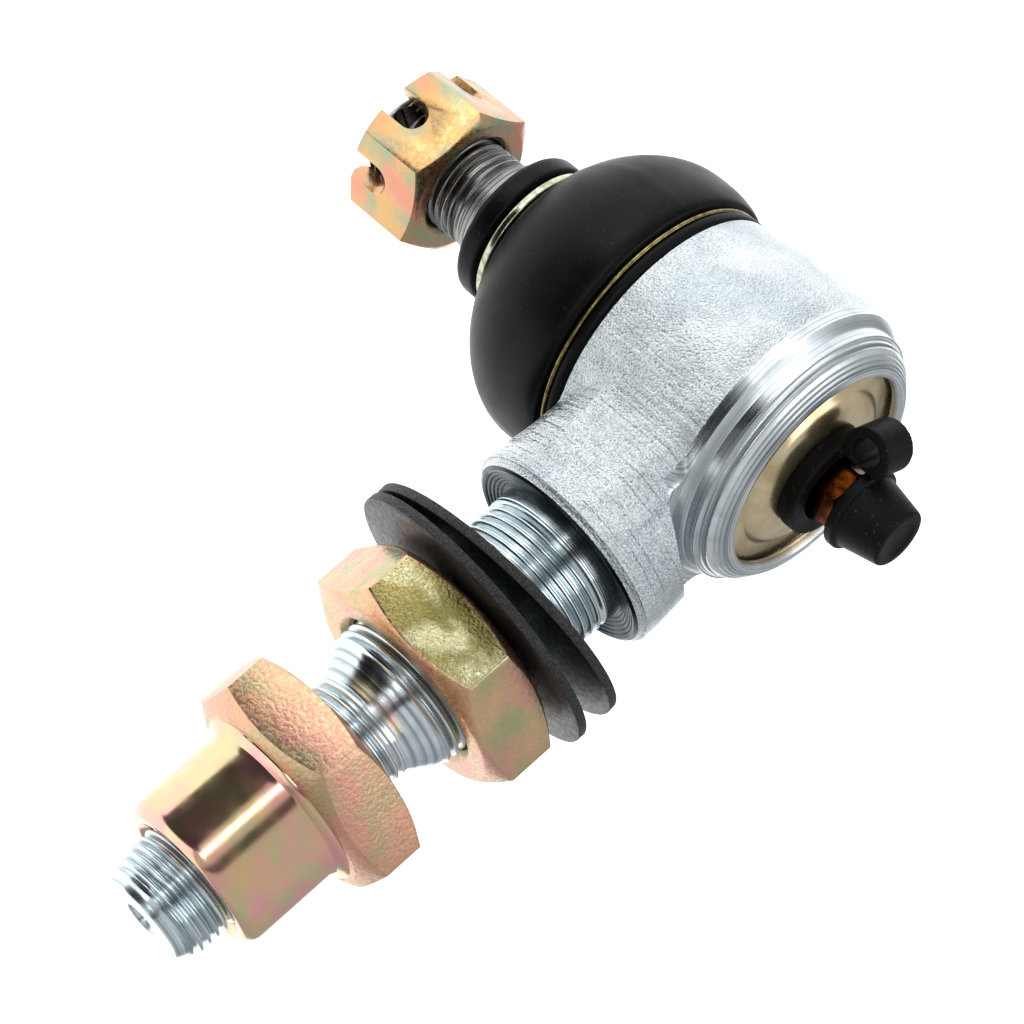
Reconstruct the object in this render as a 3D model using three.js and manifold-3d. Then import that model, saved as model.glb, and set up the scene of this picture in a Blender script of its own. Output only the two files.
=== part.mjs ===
// Tie rod end with a greasable ball socket, a threaded shank and its fasteners, in millimetres.
// The origin is the centre of the ball. +Z runs along the ball stud's axis towards the grease nipple,
// so the stud hangs down, and +X runs along the shank to its free end.
import * as THREE from "three";
import { mergeVertices } from "three/addons/utils/BufferGeometryUtils.js";
import Module from "manifold-3d";

const wasm = await Module();
wasm.setup();

// ---------------------------------------------------------------- driving dimensions
const clearance = 0.3; // between pieces that touch or run in each other

const ball = { radius: 13.5, flatZ: 11.3 };

const stud = {
  neckRadius: 7.5,
  neckEndZ: -24.5,
  taperTopRadius: 10.0,
  taperTopZ: -28.5,
  taperEndRadius: 8.6,
  taperEndZ: -50.8,
  threadRadius: 8.0, // M16
  endZ: -73.0,
  chamfer: 1.1,
  pinHoleRadius: 2.0,
  pinHoleZ: -70.0,
};

const castleNut = {
  acrossFlats: 24,
  height: 14.6,
  gapToBoot: 10.3,
  slots: 6,
  slotWidth: 5.0,
  slotDepth: 8.4,
  faceShare: 0.96, // flat ring of each end face, as a share of the flats
  turn: 7.3, // degrees from +X to a corner
};

const seat = { wall: 2.9, angleFromPole: 60, topZ: 12.6, openingRadius: 8.1 };

const socket = {
  outerRadius: 24.3,
  lowerRadius: 23.4,
  bottomZ: -13.9, // underside of the forging, where the boot ends
  landRadius: 20.6, // turned land that carries the boot
  landEndZ: -19.0,
  seatCutRadius: 24.6, // the same cut clears the neck for the boot's base
  mouthRadius: 17.0,
  throatGap: 1.08, // round the ball, where the bore narrows under the bearing
  turnedRadius: 23.7,
  turnedStartZ: 8.6,
  stepRadius: 22.3,
  reliefRadius: 26.7, // cutter path round the turned end
  reliefZ: 11.0,
  lipOuterRadius: 18.7,
  lipInnerRadius: 17.3,
  lipTopZ: 18.1,
};

const cover = {
  thickness: 2.2,
  bottomZ: 13.8,
  overlap: 1.0, // how far the rolled lip reaches over the plate
  domeRadius: 13.9,
  domeHeight: 2.3,
  domeWall: 0.6, // how much smaller the dome is inside
};

const neck = {
  faceX: 36.2,
  faceRadius: 16.0,
  radius: 17.5,
  rootRadius: 17.0,
  rootX: 26.0,
  webFillet: 12,
  webHalfHeight: 11.5,
  webBevel: 4,
};

const shank = {
  largeRadius: 12.0, // M24
  largeEndX: 69.8,
  coneEndX: 74.4,
  smallRadius: 9.0, // M18
  endX: 117.7,
  endRadius: 7.2,
  chamferLength: 3.2,
  centreRadius: 2.9,
  drillRadius: 1.2,
  drillDepth: 5.0,
};

const washer = { outerRadius: 23.3, boreGap: 1.6, thickness: 1.9, dish: 1.0, drop: 1.2 };
const outerWasher = { x: 51.9, tilt: 4, lean: 154 };
// lean is the side, in degrees from +Y towards +Z, that a tilted washer carries towards the nut
const innerWasher = { x: 47.7, tilt: 6.4, lean: 205 };

const jamNut = { acrossFlats: 36, startX: 55.2, length: 12.0, turn: 137.5, faceShare: 0.94 };

const sleeveNut = {
  acrossFlats: 35,
  startX: 80.8,
  hexLength: 10.6,
  sleeveRadius: 13.0,
  sleeveEndX: 109.0,
  shoulderRadius: 14.6,
  shoulderLength: 1.6,
  chamfer: 1.6,
  turn: 150,
  innerFaceShare: 0.99,
  outerFaceShare: 0.9,
};

const boot = {
  wall: 1.8,
  collarRadius: 12.7,
  collarTopZ: -43.2,
  collarEndZ: -47.4,
  ringGrooveDepth: 1.3,
  ringGrooveWidth: 2.2,
  bulgeRadius: 25.4,
  bulgeZ: -25.5,
  shoulder: 1.5, // how hollow the wall is between the collar and the bulge, 1 being an ellipse
  baseRadius: 23.5,
  baseGrooveDepth: 1.1,
  baseGrooveZ: -16.8,
  baseGrooveWidth: 1.1,
};
const upperRing = { width: 1.5, thickness: 0.9 };
const lowerRing = { wireRadius: 0.45 };

const nipple = {
  threadRadius: 4.0, // M8
  bottomZ: 14.8,
  hexStartZ: 20.3,
  hexAcrossFlats: 9.6,
  hexLength: 5.0,
  neckRadius: 2.6,
  headRadius: 3.3,
  headLength: 3.2,
  topZ: 33.0,
  boreRadius: 1.7,
  channelRadius: 0.9,
  ledgeZ: 23.0,
  mouthRadius: 0.9,
};
const checkBall = { radius: 1.3 };
const nippleSpring = { coilRadius: 1.1, wireRadius: 0.2, turns: 6 };

const cap = {
  flangeRadius: 7.0,
  flangeStartZ: 25.7,
  flangeLength: 1.9,
  baseRadius: 6.2,
  tipRadius: 5.0,
  topZ: 34.6,
  edge: 0.5,
};
const strap = {
  ringRadius: 8.9,
  ringBoreRadius: 5.9,
  ringThickness: 2.7,
  direction: -122, // degrees from +X about the nipple, where the strap leaves the ring
  width: 6.4,
  thickness: 1.7,
  loopOuterRadius: 4.0,
  loopOffset: 10.2,
  loopZ: 25.3,
};

const detail = { large: 40, medium: 30, small: 20 }; // facets round a turned surface

// ---------------------------------------------------------------- helpers
const radians = THREE.MathUtils.degToRad;

/** A closed three.js geometry as a manifold-3d solid with its faces pointing out. */
function solid(geometry) {
  const flat = geometry.index ? geometry.toNonIndexed() : geometry;
  const bare = new THREE.BufferGeometry();
  bare.setAttribute("position", flat.getAttribute("position"));
  const merged = mergeVertices(bare, 1e-4);
  const index = merged.index.array;
  const kept = [];
  for (let i = 0; i < index.length; i += 3) {
    const [a, b, c] = [index[i], index[i + 1], index[i + 2]];
    if (a !== b && b !== c && c !== a) kept.push(a, b, c);
  }
  const vertProperties = merged.attributes.position.array;
  const build = (triVerts) =>
    new wasm.Manifold(new wasm.Mesh({ numProp: 3, vertProperties, triVerts }));
  const made = build(new Uint32Array(kept));
  if (made.volume() > 0) return made;
  for (let i = 0; i < kept.length; i += 3) [kept[i], kept[i + 1]] = [kept[i + 1], kept[i]];
  return build(new Uint32Array(kept));
}

/** A named mesh from a manifold-3d solid. */
function mesh(name, made, material) {
  const m = made.getMesh();
  const geometry = new THREE.BufferGeometry();
  geometry.setAttribute("position", new THREE.BufferAttribute(new Float32Array(m.vertProperties), 3));
  geometry.setIndex(new THREE.BufferAttribute(new Uint32Array(m.triVerts), 1));
  geometry.computeVertexNormals();
  const made3 = new THREE.Mesh(geometry, material);
  made3.name = name;
  return made3;
}

const axisTurn = {
  x: new THREE.Matrix4().makeRotationZ(-Math.PI / 2), // the lathe's Y becomes +X
  z: new THREE.Matrix4().makeRotationX(Math.PI / 2), // the lathe's Y becomes +Z
};

/** Turns a closed [radius, place along the axis] outline about the X or Z axis. */
function turned(outline, axis = "z", facets = detail.medium) {
  const points = outline.map(([radius, along]) => new THREE.Vector2(Math.max(radius, 0), along));
  const onAxis = points[0].x === 0 && points[points.length - 1].x === 0;
  const closed = onAxis ? points : [...points, points[0].clone()];
  return solid(new THREE.LatheGeometry(closed, facets).applyMatrix4(axisTurn[axis]));
}

/** A bored ring between two places on an axis. */
const ring = (inner, outer, from, to, axis, facets) =>
  turned([[inner, from], [outer, from], [outer, to], [inner, to]], axis, facets);

/** A round bar between two places on an axis. */
const bar = (radius, from, to, axis, facets) =>
  turned([[0, from], [radius, from], [radius, to], [0, to]], axis, facets);

/** Points on a circle's arc in an outline, from one angle to another in degrees. */
function arc(centreR, centreZ, radius, from, to, steps) {
  const at = (i) => radians(from + ((to - from) * i) / steps);
  return Array.from({ length: steps + 1 }, (_, i) => [
    centreR + radius * Math.cos(at(i)),
    centreZ + radius * Math.sin(at(i)),
  ]);
}

/** A flat outline in XY as a prism between two heights. */
function prism(points, from, to) {
  const shape = new THREE.Shape(points.map(([x, y]) => new THREE.Vector2(x, y)));
  const extruded = new THREE.ExtrudeGeometry(shape, { depth: to - from, bevelEnabled: false });
  return solid(extruded.translate(0, 0, from));
}

/** A box from its centre and sizes, turned about Z in degrees. */
function block([x, y, z], [sx, sy, sz], turn = 0) {
  const box = new THREE.BoxGeometry(sx, sy, sz);
  return solid(box.translate(x, y, z).rotateZ(radians(turn)));
}

/** A hexagon across its flats, with its first corner turned from +X, as a prism along Z. */
function hexagon(acrossFlats, turn, from, to) {
  const cornerRadius = acrossFlats / Math.sqrt(3);
  const corners = Array.from({ length: 6 }, (_, i) => {
    const angle = radians(turn + 60 * i);
    return [cornerRadius * Math.cos(angle), cornerRadius * Math.sin(angle)];
  });
  return prism(corners, from, to);
}

/** The double cone that chamfers a hexagon's corners at 30 degrees. */
function chamferCone(acrossFlats, from, to, fromShare, toShare, axis) {
  const corner = acrossFlats / Math.sqrt(3) + 0.5;
  const face = (share) => (acrossFlats / 2) * share;
  const drop = (share) => (corner - face(share)) * Math.tan(radians(30));
  return turned(
    [
      [0, from],
      [face(fromShare), from],
      [corner, from + drop(fromShare)],
      [corner, to - drop(toShare)],
      [face(toShare), to],
      [0, to],
    ],
    axis,
    detail.large,
  );
}

/** Turns a solid built along Z so that its Z runs along +X, its X along +Y and its Y along +Z. */
const alongX = (made) => made.rotate([0, 90, 0]).rotate([90, 0, 0]);

// ---------------------------------------------------------------- finishes
const metal = (color, roughness, metalness = 0.9) =>
  new THREE.MeshStandardMaterial({ color, roughness, metalness });
const rubber = (color) => new THREE.MeshStandardMaterial({ color, roughness: 0.6, metalness: 0 });
const finishes = {
  forging: metal("#c3cccf", 0.55),
  stud: metal("#4a4a4c", 0.4),
  castle: metal("#c99e6b", 0.45),
  jam: metal("#b9a272", 0.5),
  sleeve: metal("#cfa787", 0.4),
  washers: metal("#262626", 0.6, 0.5),
  cover: metal("#b3a57c", 0.4),
  brass: metal("#8a5427", 0.35),
  wire: metal("#d6d4b0", 0.4),
  spring: metal("#8c8f93", 0.4),
  acetal: new THREE.MeshStandardMaterial({ color: "#e6e2d6", roughness: 0.5, metalness: 0 }),
  boot: rubber("#1b1b1b"),
  cap: rubber("#202123"),
};

// ---------------------------------------------------------------- ball stud and castle nut
const taperRadiusAt = (z) =>
  stud.taperTopRadius +
  ((stud.taperEndRadius - stud.taperTopRadius) * (z - stud.taperTopZ)) /
    (stud.taperEndZ - stud.taperTopZ);

function makeBallStud() {
  const neckAngle = THREE.MathUtils.radToDeg(Math.asin(stud.neckRadius / ball.radius));
  const flatAngle = THREE.MathUtils.radToDeg(Math.asin(ball.flatZ / ball.radius));
  const body = turned(
    [
      [0, ball.flatZ],
      ...arc(0, 0, ball.radius, flatAngle, -90 + neckAngle, 12),
      [stud.neckRadius, stud.neckEndZ],
      [stud.taperTopRadius, stud.taperTopZ],
      [stud.taperEndRadius, stud.taperEndZ],
      [stud.threadRadius, stud.taperEndZ - 0.8],
      [stud.threadRadius, stud.endZ + stud.chamfer],
      [stud.threadRadius - stud.chamfer, stud.endZ],
      [0, stud.endZ],
    ],
    "z",
    detail.medium,
  );
  const hole = bar(stud.pinHoleRadius, -stud.threadRadius - 1, stud.threadRadius + 1, "x", 20);
  return body.subtract(hole.rotate([0, 0, castleNut.turn + 90]).translate([0, 0, stud.pinHoleZ]));
}

function makeCastleNut() {
  const faceZ = boot.collarEndZ - castleNut.gapToBoot;
  const endZ = faceZ - castleNut.height;
  const hex = hexagon(castleNut.acrossFlats, castleNut.turn, endZ, faceZ).intersect(
    chamferCone(castleNut.acrossFlats, endZ, faceZ, castleNut.faceShare, castleNut.faceShare, "z"),
  );
  const bore = stud.threadRadius + clearance;
  const countersink = 0.9;
  let nut = hex.subtract(
    turned([
      [0, faceZ + 1],
      [bore + countersink + 1, faceZ + 1],
      [bore, faceZ - countersink],
      [bore, endZ - 1],
      [0, endZ - 1],
    ]),
  );
  const half = castleNut.slotWidth / 2;
  const reach = castleNut.acrossFlats;
  const slotFloor = endZ + castleNut.slotDepth;
  for (let i = 0; i < castleNut.slots / 2; i++) {
    const turn = castleNut.turn + 90 + 60 * i;
    const box = block(
      [0, 0, (endZ - 1 + slotFloor - half) / 2],
      [reach * 2, castleNut.slotWidth, slotFloor - half - endZ + 1],
      turn,
    );
    const floor = bar(half, -reach, reach, "x", 20)
      .rotate([0, 0, turn])
      .translate([0, 0, slotFloor - half]);
    nut = nut.subtract(box).subtract(floor);
  }
  return nut;
}

// ---------------------------------------------------------------- socket, seats and cover
const seatBore = ball.radius + clearance;
const seatOuter = seatBore + seat.wall;
const socketBore = seatOuter + clearance;
const raceBottomZ = -seatBore * Math.cos(radians(seat.angleFromPole));
const coverTopZ = cover.bottomZ + cover.thickness;
const coverRadius = socket.lipInnerRadius + cover.overlap;
const domeTopZ = coverTopZ + cover.domeHeight;

function makeHousing() {
  const s = socket;
  const outside = turned(
    [
      [0, s.landEndZ],
      [s.landRadius - 0.6, s.landEndZ],
      [s.landRadius, s.landEndZ + 0.6],
      [s.landRadius, s.bottomZ],
      [s.lowerRadius - 0.8, s.bottomZ],
      [s.lowerRadius, s.bottomZ + 0.9],
      [s.outerRadius, -3],
      [s.outerRadius, 6.5],
      [s.turnedRadius, s.turnedStartZ],
      [s.turnedRadius, s.reliefZ],
      [s.stepRadius, s.reliefZ + 1.3],
      [s.stepRadius - 0.3, s.lipTopZ - 3.9],
      [s.stepRadius - 1.7, s.lipTopZ - 1.7],
      [s.lipOuterRadius, s.lipTopZ],
      [0, s.lipTopZ],
    ],
    "z",
    detail.large,
  );
  const n = neck;
  const barrel = turned(
    [
      [0, 0],
      [n.rootRadius, 0],
      [n.rootRadius, n.rootX],
      [n.radius, n.faceX - 4.5],
      [n.radius - 0.4, n.faceX - 1.4],
      [n.faceRadius, n.faceX],
      [0, n.faceX],
    ],
    "x",
    detail.medium,
  );
  const relief = bar(s.reliefRadius, s.reliefZ, s.lipTopZ + 10, "z", detail.large);
  const bootSeat = ring(s.landRadius - 2, s.seatCutRadius, s.landEndZ - 1, s.bottomZ, "z", detail.large);
  const forging = barrel.add(makeWeb()).subtract(relief).subtract(bootSeat).add(outside);
  return forging.add(makeShankBar()).subtract(makeSocketBore()).subtract(makeCentreDrill());
}

/** The waist that fairs the neck into the socket with a fillet on each side. */
function makeWeb() {
  const n = neck;
  const r = socket.outerRadius;
  const side = n.rootRadius - 1;
  const fillet = n.webFillet;
  const centreY = side + fillet;
  const centreX = Math.sqrt((r + fillet) ** 2 - centreY ** 2);
  const touch = (Math.atan2(centreY, centreX) * 180) / Math.PI;
  const curve = arc(centreX, centreY, fillet, 180 + touch, 270, 8);
  const upper = [[0, r * 0.98], [r * Math.cos(radians(touch)), r * Math.sin(radians(touch))], ...curve.slice(1)];
  const end = [[n.faceX - 5, side]];
  const half = [...upper, ...end];
  const outline = [...half, ...half.map(([x, y]) => [x, -y]).reverse()];
  const layers = [];
  const steps = 3;
  for (let i = 0; i <= steps; i++) {
    const angle = (i / steps) * (Math.PI / 2);
    const inset = n.webBevel * (1 - Math.cos(angle));
    const height = n.webHalfHeight - n.webBevel + n.webBevel * Math.sin(angle);
    layers.push({ inset, height });
  }
  return layers
    .map(({ inset, height }) =>
      prism(outline.map(([x, y]) => [x, y * (1 - inset / r)]), -height, height),
    )
    .reduce((a, b) => a.add(b));
}

function makeShankBar() {
  const s = shank;
  return turned(
    [
      [0, neck.faceX - 2],
      [s.largeRadius, neck.faceX - 2],
      [s.largeRadius, s.largeEndX - 0.5],
      [s.largeRadius - 0.5, s.largeEndX],
      [s.smallRadius, s.coneEndX],
      [s.smallRadius, s.endX - s.chamferLength],
      [s.endRadius, s.endX],
      [0, s.endX],
    ],
    "x",
    detail.medium,
  );
}

function makeCentreDrill() {
  const s = shank;
  const coneDepth = (s.centreRadius - s.drillRadius) / Math.tan(radians(30));
  return turned(
    [
      [0, s.endX + 1],
      [s.centreRadius, s.endX + 1],
      [s.centreRadius, s.endX],
      [s.drillRadius, s.endX - coneDepth],
      [s.drillRadius, s.endX - s.drillDepth],
      [0, s.endX - s.drillDepth],
    ],
    "x",
    20,
  );
}

function makeSocketBore() {
  const s = socket;
  const shoulderZ = raceBottomZ - clearance;
  const plateSeatZ = cover.bottomZ - clearance;
  const throatRadius = Math.sqrt(ball.radius ** 2 - shoulderZ ** 2) + s.throatGap;
  return turned(
    [
      [0, s.landEndZ - 1],
      [s.mouthRadius, s.landEndZ - 1],
      [s.mouthRadius, s.landEndZ],
      [throatRadius, shoulderZ],
      [socketBore, shoulderZ],
      [socketBore, plateSeatZ],
      [coverRadius + clearance, plateSeatZ],
      [coverRadius + clearance, coverTopZ + clearance],
      [s.lipInnerRadius, coverTopZ + clearance],
      [s.lipInnerRadius, s.lipTopZ + 1],
      [0, s.lipTopZ + 1],
    ],
    "z",
    detail.large,
  );
}

/** The lower half of the bearing: it holds the ball above the throat. */
function makeBallRace() {
  const from = -90 + seat.angleFromPole;
  const topAngle = THREE.MathUtils.radToDeg(Math.asin(-clearance / seatBore));
  return turned([
    ...arc(0, 0, seatBore, from, topAngle, 8),
    [seatOuter, -clearance],
    [seatOuter, raceBottomZ],
  ]);
}

/** The upper half of the bearing, which the preload spring presses on the ball. */
function makePressureSeat() {
  const fromAngle = THREE.MathUtils.radToDeg(Math.asin(clearance / seatBore));
  const toAngle = THREE.MathUtils.radToDeg(Math.acos(seat.openingRadius / seatBore));
  return turned([
    ...arc(0, 0, seatBore, fromAngle, toAngle, 8),
    [seat.openingRadius, seat.topZ],
    [seatOuter, seat.topZ],
    [seatOuter, clearance],
  ]);
}

/** A disc spring between the pressure seat and the dome of the cover. */
function makePreloadSpring() {
  const thickness = 0.9;
  const outer = cover.domeRadius - cover.domeWall - 2 * clearance;
  const inner = seat.openingRadius + 1.4;
  const bottom = seat.topZ + clearance;
  const top = domeTopZ - cover.thickness - 3 * clearance;
  return turned([
    [outer, bottom],
    [outer, bottom + thickness],
    [inner, top],
    [inner, top - thickness],
  ]);
}

function makeCoverPlate() {
  const c = cover;
  const hole = nipple.threadRadius + clearance;
  const r = c.domeRadius;
  const under = c.domeWall;
  return turned(
    [
      [hole, domeTopZ - c.thickness],
      [r - 5.0 - under, domeTopZ - c.thickness - 0.1],
      [r - 2.2 - under, c.bottomZ + 1.1],
      [r - under, c.bottomZ],
      [coverRadius, c.bottomZ],
      [coverRadius, coverTopZ],
      [r, coverTopZ],
      [r - 0.5, coverTopZ + 0.8],
      [r - 1.8, domeTopZ - 0.9],
      [r - 4.2, domeTopZ - 0.3],
      [r - 7.0, domeTopZ],
      [hole, domeTopZ],
    ],
    "z",
    detail.large,
  );
}

// ---------------------------------------------------------------- grease nipple and its cap
function makeGreaseNipple() {
  const n = nipple;
  const hexEndZ = n.hexStartZ + n.hexLength;
  const headStartZ = n.topZ - n.headLength;
  const outside = turned(
    [
      [0, n.bottomZ],
      [n.threadRadius - 0.6, n.bottomZ],
      [n.threadRadius, n.bottomZ + 0.6],
      [n.threadRadius, hexEndZ - 0.5],
      [n.neckRadius + 0.9, hexEndZ + 0.2],
      [n.neckRadius, hexEndZ + 1],
      [n.neckRadius, headStartZ],
      [n.headRadius, headStartZ + 0.9],
      [n.headRadius, headStartZ + 1.7],
      [n.mouthRadius + 1.0, n.topZ],
      [0, n.topZ],
    ],
    "z",
    detail.small,
  );
  const hex = hexagon(n.hexAcrossFlats, 10, n.hexStartZ, hexEndZ).intersect(
    chamferCone(n.hexAcrossFlats, n.hexStartZ - 1, hexEndZ, 1, 0.94, "z"),
  );
  const ballSeatZ = n.topZ - 1.6;
  const bore = turned(
    [
      [0, n.bottomZ - 1],
      [n.channelRadius, n.bottomZ - 1],
      [n.channelRadius, n.ledgeZ],
      [n.boreRadius, n.ledgeZ],
      [n.boreRadius, ballSeatZ],
      [n.mouthRadius, n.topZ - 0.8],
      [n.mouthRadius, n.topZ + 1],
      [0, n.topZ + 1],
    ],
    "z",
    20,
  );
  return outside.add(hex).subtract(bore);
}

const checkBallZ = nipple.topZ - 1.6 - checkBall.radius * 0.75;

function makeCheckBall() {
  return solid(new THREE.SphereGeometry(checkBall.radius, 20, 12)).translate([0, 0, checkBallZ]);
}

function makeNippleSpring() {
  const s = nippleSpring;
  const from = nipple.ledgeZ + clearance + s.wireRadius;
  const to = checkBallZ - checkBall.radius - clearance - s.wireRadius;
  const stepsPerTurn = 10;
  const points = [];
  for (let i = 0; i <= s.turns * stepsPerTurn; i++) {
    const angle = (i / stepsPerTurn) * 2 * Math.PI;
    const z = from + ((to - from) * i) / (s.turns * stepsPerTurn);
    points.push(new THREE.Vector3(s.coilRadius * Math.cos(angle), s.coilRadius * Math.sin(angle), z));
  }
  const path = new THREE.CatmullRomCurve3(points);
  const section = new THREE.Shape(
    Array.from({ length: 6 }, (_, i) => {
      const angle = (i / 6) * 2 * Math.PI;
      return new THREE.Vector2(s.wireRadius * Math.cos(angle), s.wireRadius * Math.sin(angle));
    }),
  );
  const steps = s.turns * stepsPerTurn;
  return solid(new THREE.ExtrudeGeometry(section, { steps, extrudePath: path }));
}

function makeNippleCap() {
  const c = cap;
  const n = nipple;
  const shoulderZ = c.flangeStartZ + c.flangeLength;
  return turned(
    [
      [n.headRadius + clearance, c.flangeStartZ],
      [c.flangeRadius - c.edge, c.flangeStartZ],
      [c.flangeRadius, c.flangeStartZ + c.edge],
      [c.flangeRadius, shoulderZ - c.edge],
      [c.flangeRadius - c.edge, shoulderZ],
      [c.baseRadius, shoulderZ + 0.3],
      [c.tipRadius, c.topZ - c.edge],
      [c.tipRadius - c.edge, c.topZ],
      [0, c.topZ],
      [0, n.topZ + clearance],
      [n.headRadius + clearance, n.topZ + clearance],
    ],
    "z",
    detail.small,
  );
}

/** The strap is a ring round the nipple, and a band that loops up to the cap's flange. */
function makeCapStrap() {
  const s = strap;
  const bottom = domeTopZ + clearance;
  const base = ring(s.ringBoreRadius, s.ringRadius, bottom, bottom + s.ringThickness, "z", detail.small);
  const loopInner = s.loopOuterRadius - s.thickness;
  const loop = ring(loopInner, s.loopOuterRadius, -s.width / 2, s.width / 2, "x", detail.small)
    .rotate([0, 0, 90])
    .translate([s.loopOffset, 0, s.loopZ]);
  const capGap = cap.flangeRadius + clearance;
  const keep = block(
    [capGap + 10, 0, s.loopZ],
    [20, s.width + 2, 4 * s.loopOuterRadius],
  );
  const legX = s.loopOffset - s.loopOuterRadius + s.thickness / 2;
  const legTop = s.loopZ - 0.5;
  const leg = block([legX, 0, (bottom + legTop) / 2], [s.thickness, s.width, legTop - bottom]);
  const reach = block(
    [(s.ringBoreRadius + 1 + legX) / 2, 0, bottom + s.ringThickness / 2],
    [legX - s.ringBoreRadius - 1 + s.thickness, s.width, s.ringThickness],
  );
  const band = loop.intersect(keep).add(leg.intersect(keep)).add(reach);
  return base.add(band.rotate([0, 0, s.direction]));
}

// ---------------------------------------------------------------- dust boot and its rings
const bootRingZ = boot.collarTopZ + boot.ringGrooveWidth / 2;

function makeDustBoot() {
  const b = boot;
  const grooveTopZ = b.collarTopZ + b.ringGrooveWidth;
  const grooveRadius = b.collarRadius - b.ringGrooveDepth;
  const baseGrooveRadius = b.baseRadius - b.baseGrooveDepth;
  const halfGroove = b.baseGrooveWidth / 2;
  const bellyEndZ = b.baseGrooveZ - halfGroove;
  const outside = [
    [b.collarRadius - 1.1, b.collarEndZ],
    [b.collarRadius - 0.3, b.collarEndZ + 0.5],
    [b.collarRadius, b.collarEndZ + 1.4],
    [b.collarRadius, b.collarTopZ - 0.5],
    [b.collarRadius - 0.5, b.collarTopZ],
    [grooveRadius, b.collarTopZ],
    [grooveRadius, grooveTopZ],
    ...belly(b.collarRadius + 0.1, grooveTopZ + 0.3, b.bulgeRadius, b.bulgeZ, b.baseRadius + 0.4, bellyEndZ, 10),
    [baseGrooveRadius, bellyEndZ],
    [baseGrooveRadius, b.baseGrooveZ + halfGroove],
    [b.baseRadius - 0.2, b.baseGrooveZ + halfGroove],
    [b.baseRadius, b.baseGrooveZ + halfGroove + 0.3],
    [b.baseRadius, socket.bottomZ - clearance - 0.4],
    [b.baseRadius - 0.4, socket.bottomZ - clearance],
  ];
  const landGap = socket.landRadius + clearance;
  const inside = belly(
    grooveRadius - 0.4,
    grooveTopZ + 0.9,
    b.bulgeRadius - b.wall,
    b.bulgeZ,
    b.baseRadius - b.wall,
    socket.landEndZ - 1.2,
    8,
  );
  return turned(
    [
      ...outside,
      [landGap, socket.bottomZ - clearance],
      [landGap, socket.landEndZ - 0.5],
      ...inside.reverse(),
      [taperRadiusAt(grooveTopZ) + clearance, grooveTopZ],
      [taperRadiusAt(b.collarEndZ) + clearance, b.collarEndZ],
    ],
    "z",
    detail.medium,
  );
}

/** The outline of a bellied wall: two elliptical quarters that meet where it is widest. */
function belly(startR, startZ, wideR, wideZ, endR, endZ, steps) {
  const points = [];
  const upper = Math.round(steps * 0.7);
  for (let i = 0; i <= upper; i++) {
    const angle = (i / upper) * (Math.PI / 2);
    points.push([
      startR + (wideR - startR) * Math.sin(angle) ** boot.shoulder,
      startZ + (wideZ - startZ) * (1 - Math.cos(angle)),
    ]);
  }
  const lower = steps - upper;
  for (let i = 1; i <= lower; i++) {
    const angle = (i / lower) * (Math.PI / 2);
    points.push([
      wideR + (endR - wideR) * (1 - Math.cos(angle)),
      wideZ + (endZ - wideZ) * Math.sin(angle),
    ]);
  }
  return points;
}

function makeUpperRing() {
  const inner = boot.collarRadius - boot.ringGrooveDepth + clearance;
  const half = upperRing.width / 2;
  return ring(inner, inner + upperRing.thickness, bootRingZ - half, bootRingZ + half, "z", detail.medium);
}

function makeLowerRing() {
  const centre = boot.baseRadius - boot.baseGrooveDepth + clearance + lowerRing.wireRadius;
  return turned(arc(centre, boot.baseGrooveZ, lowerRing.wireRadius, 0, 315, 7), "z", detail.medium);
}

// ---------------------------------------------------------------- shank fasteners
/** A dished washer about the X axis, with its hollow side towards the housing. */
function makeWasher({ x, tilt, lean }) {
  const w = washer;
  const half = w.thickness / 2;
  const boreRadius = shank.largeRadius + w.boreGap;
  const middle = (boreRadius + w.outerRadius) / 2;
  const flat = turned(
    [
      [boreRadius, -half + w.dish],
      [middle, -half + w.dish * 0.65],
      [w.outerRadius, -half],
      [w.outerRadius, half],
      [middle, half + w.dish * 0.65],
      [boreRadius, half + w.dish],
    ],
    "x",
    detail.medium,
  );
  return flat
    .rotate([0, -tilt, 0])
    .rotate([lean + 90, 0, 0])
    .translate([x, 0, -w.drop]);
}

function makeJamNut() {
  const j = jamNut;
  const endX = j.startX + j.length;
  const hex = alongX(hexagon(j.acrossFlats, j.turn, j.startX, endX));
  const bore = shank.largeRadius + clearance;
  const sink = 1.2;
  const hole = turned(
    [
      [0, j.startX - 1],
      [bore + sink + 1, j.startX - 1],
      [bore, j.startX + sink],
      [bore, endX - sink],
      [bore + sink + 1, endX + 1],
      [0, endX + 1],
    ],
    "x",
  );
  return hex.intersect(chamferCone(j.acrossFlats, j.startX, endX, j.faceShare, j.faceShare, "x")).subtract(hole);
}

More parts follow.
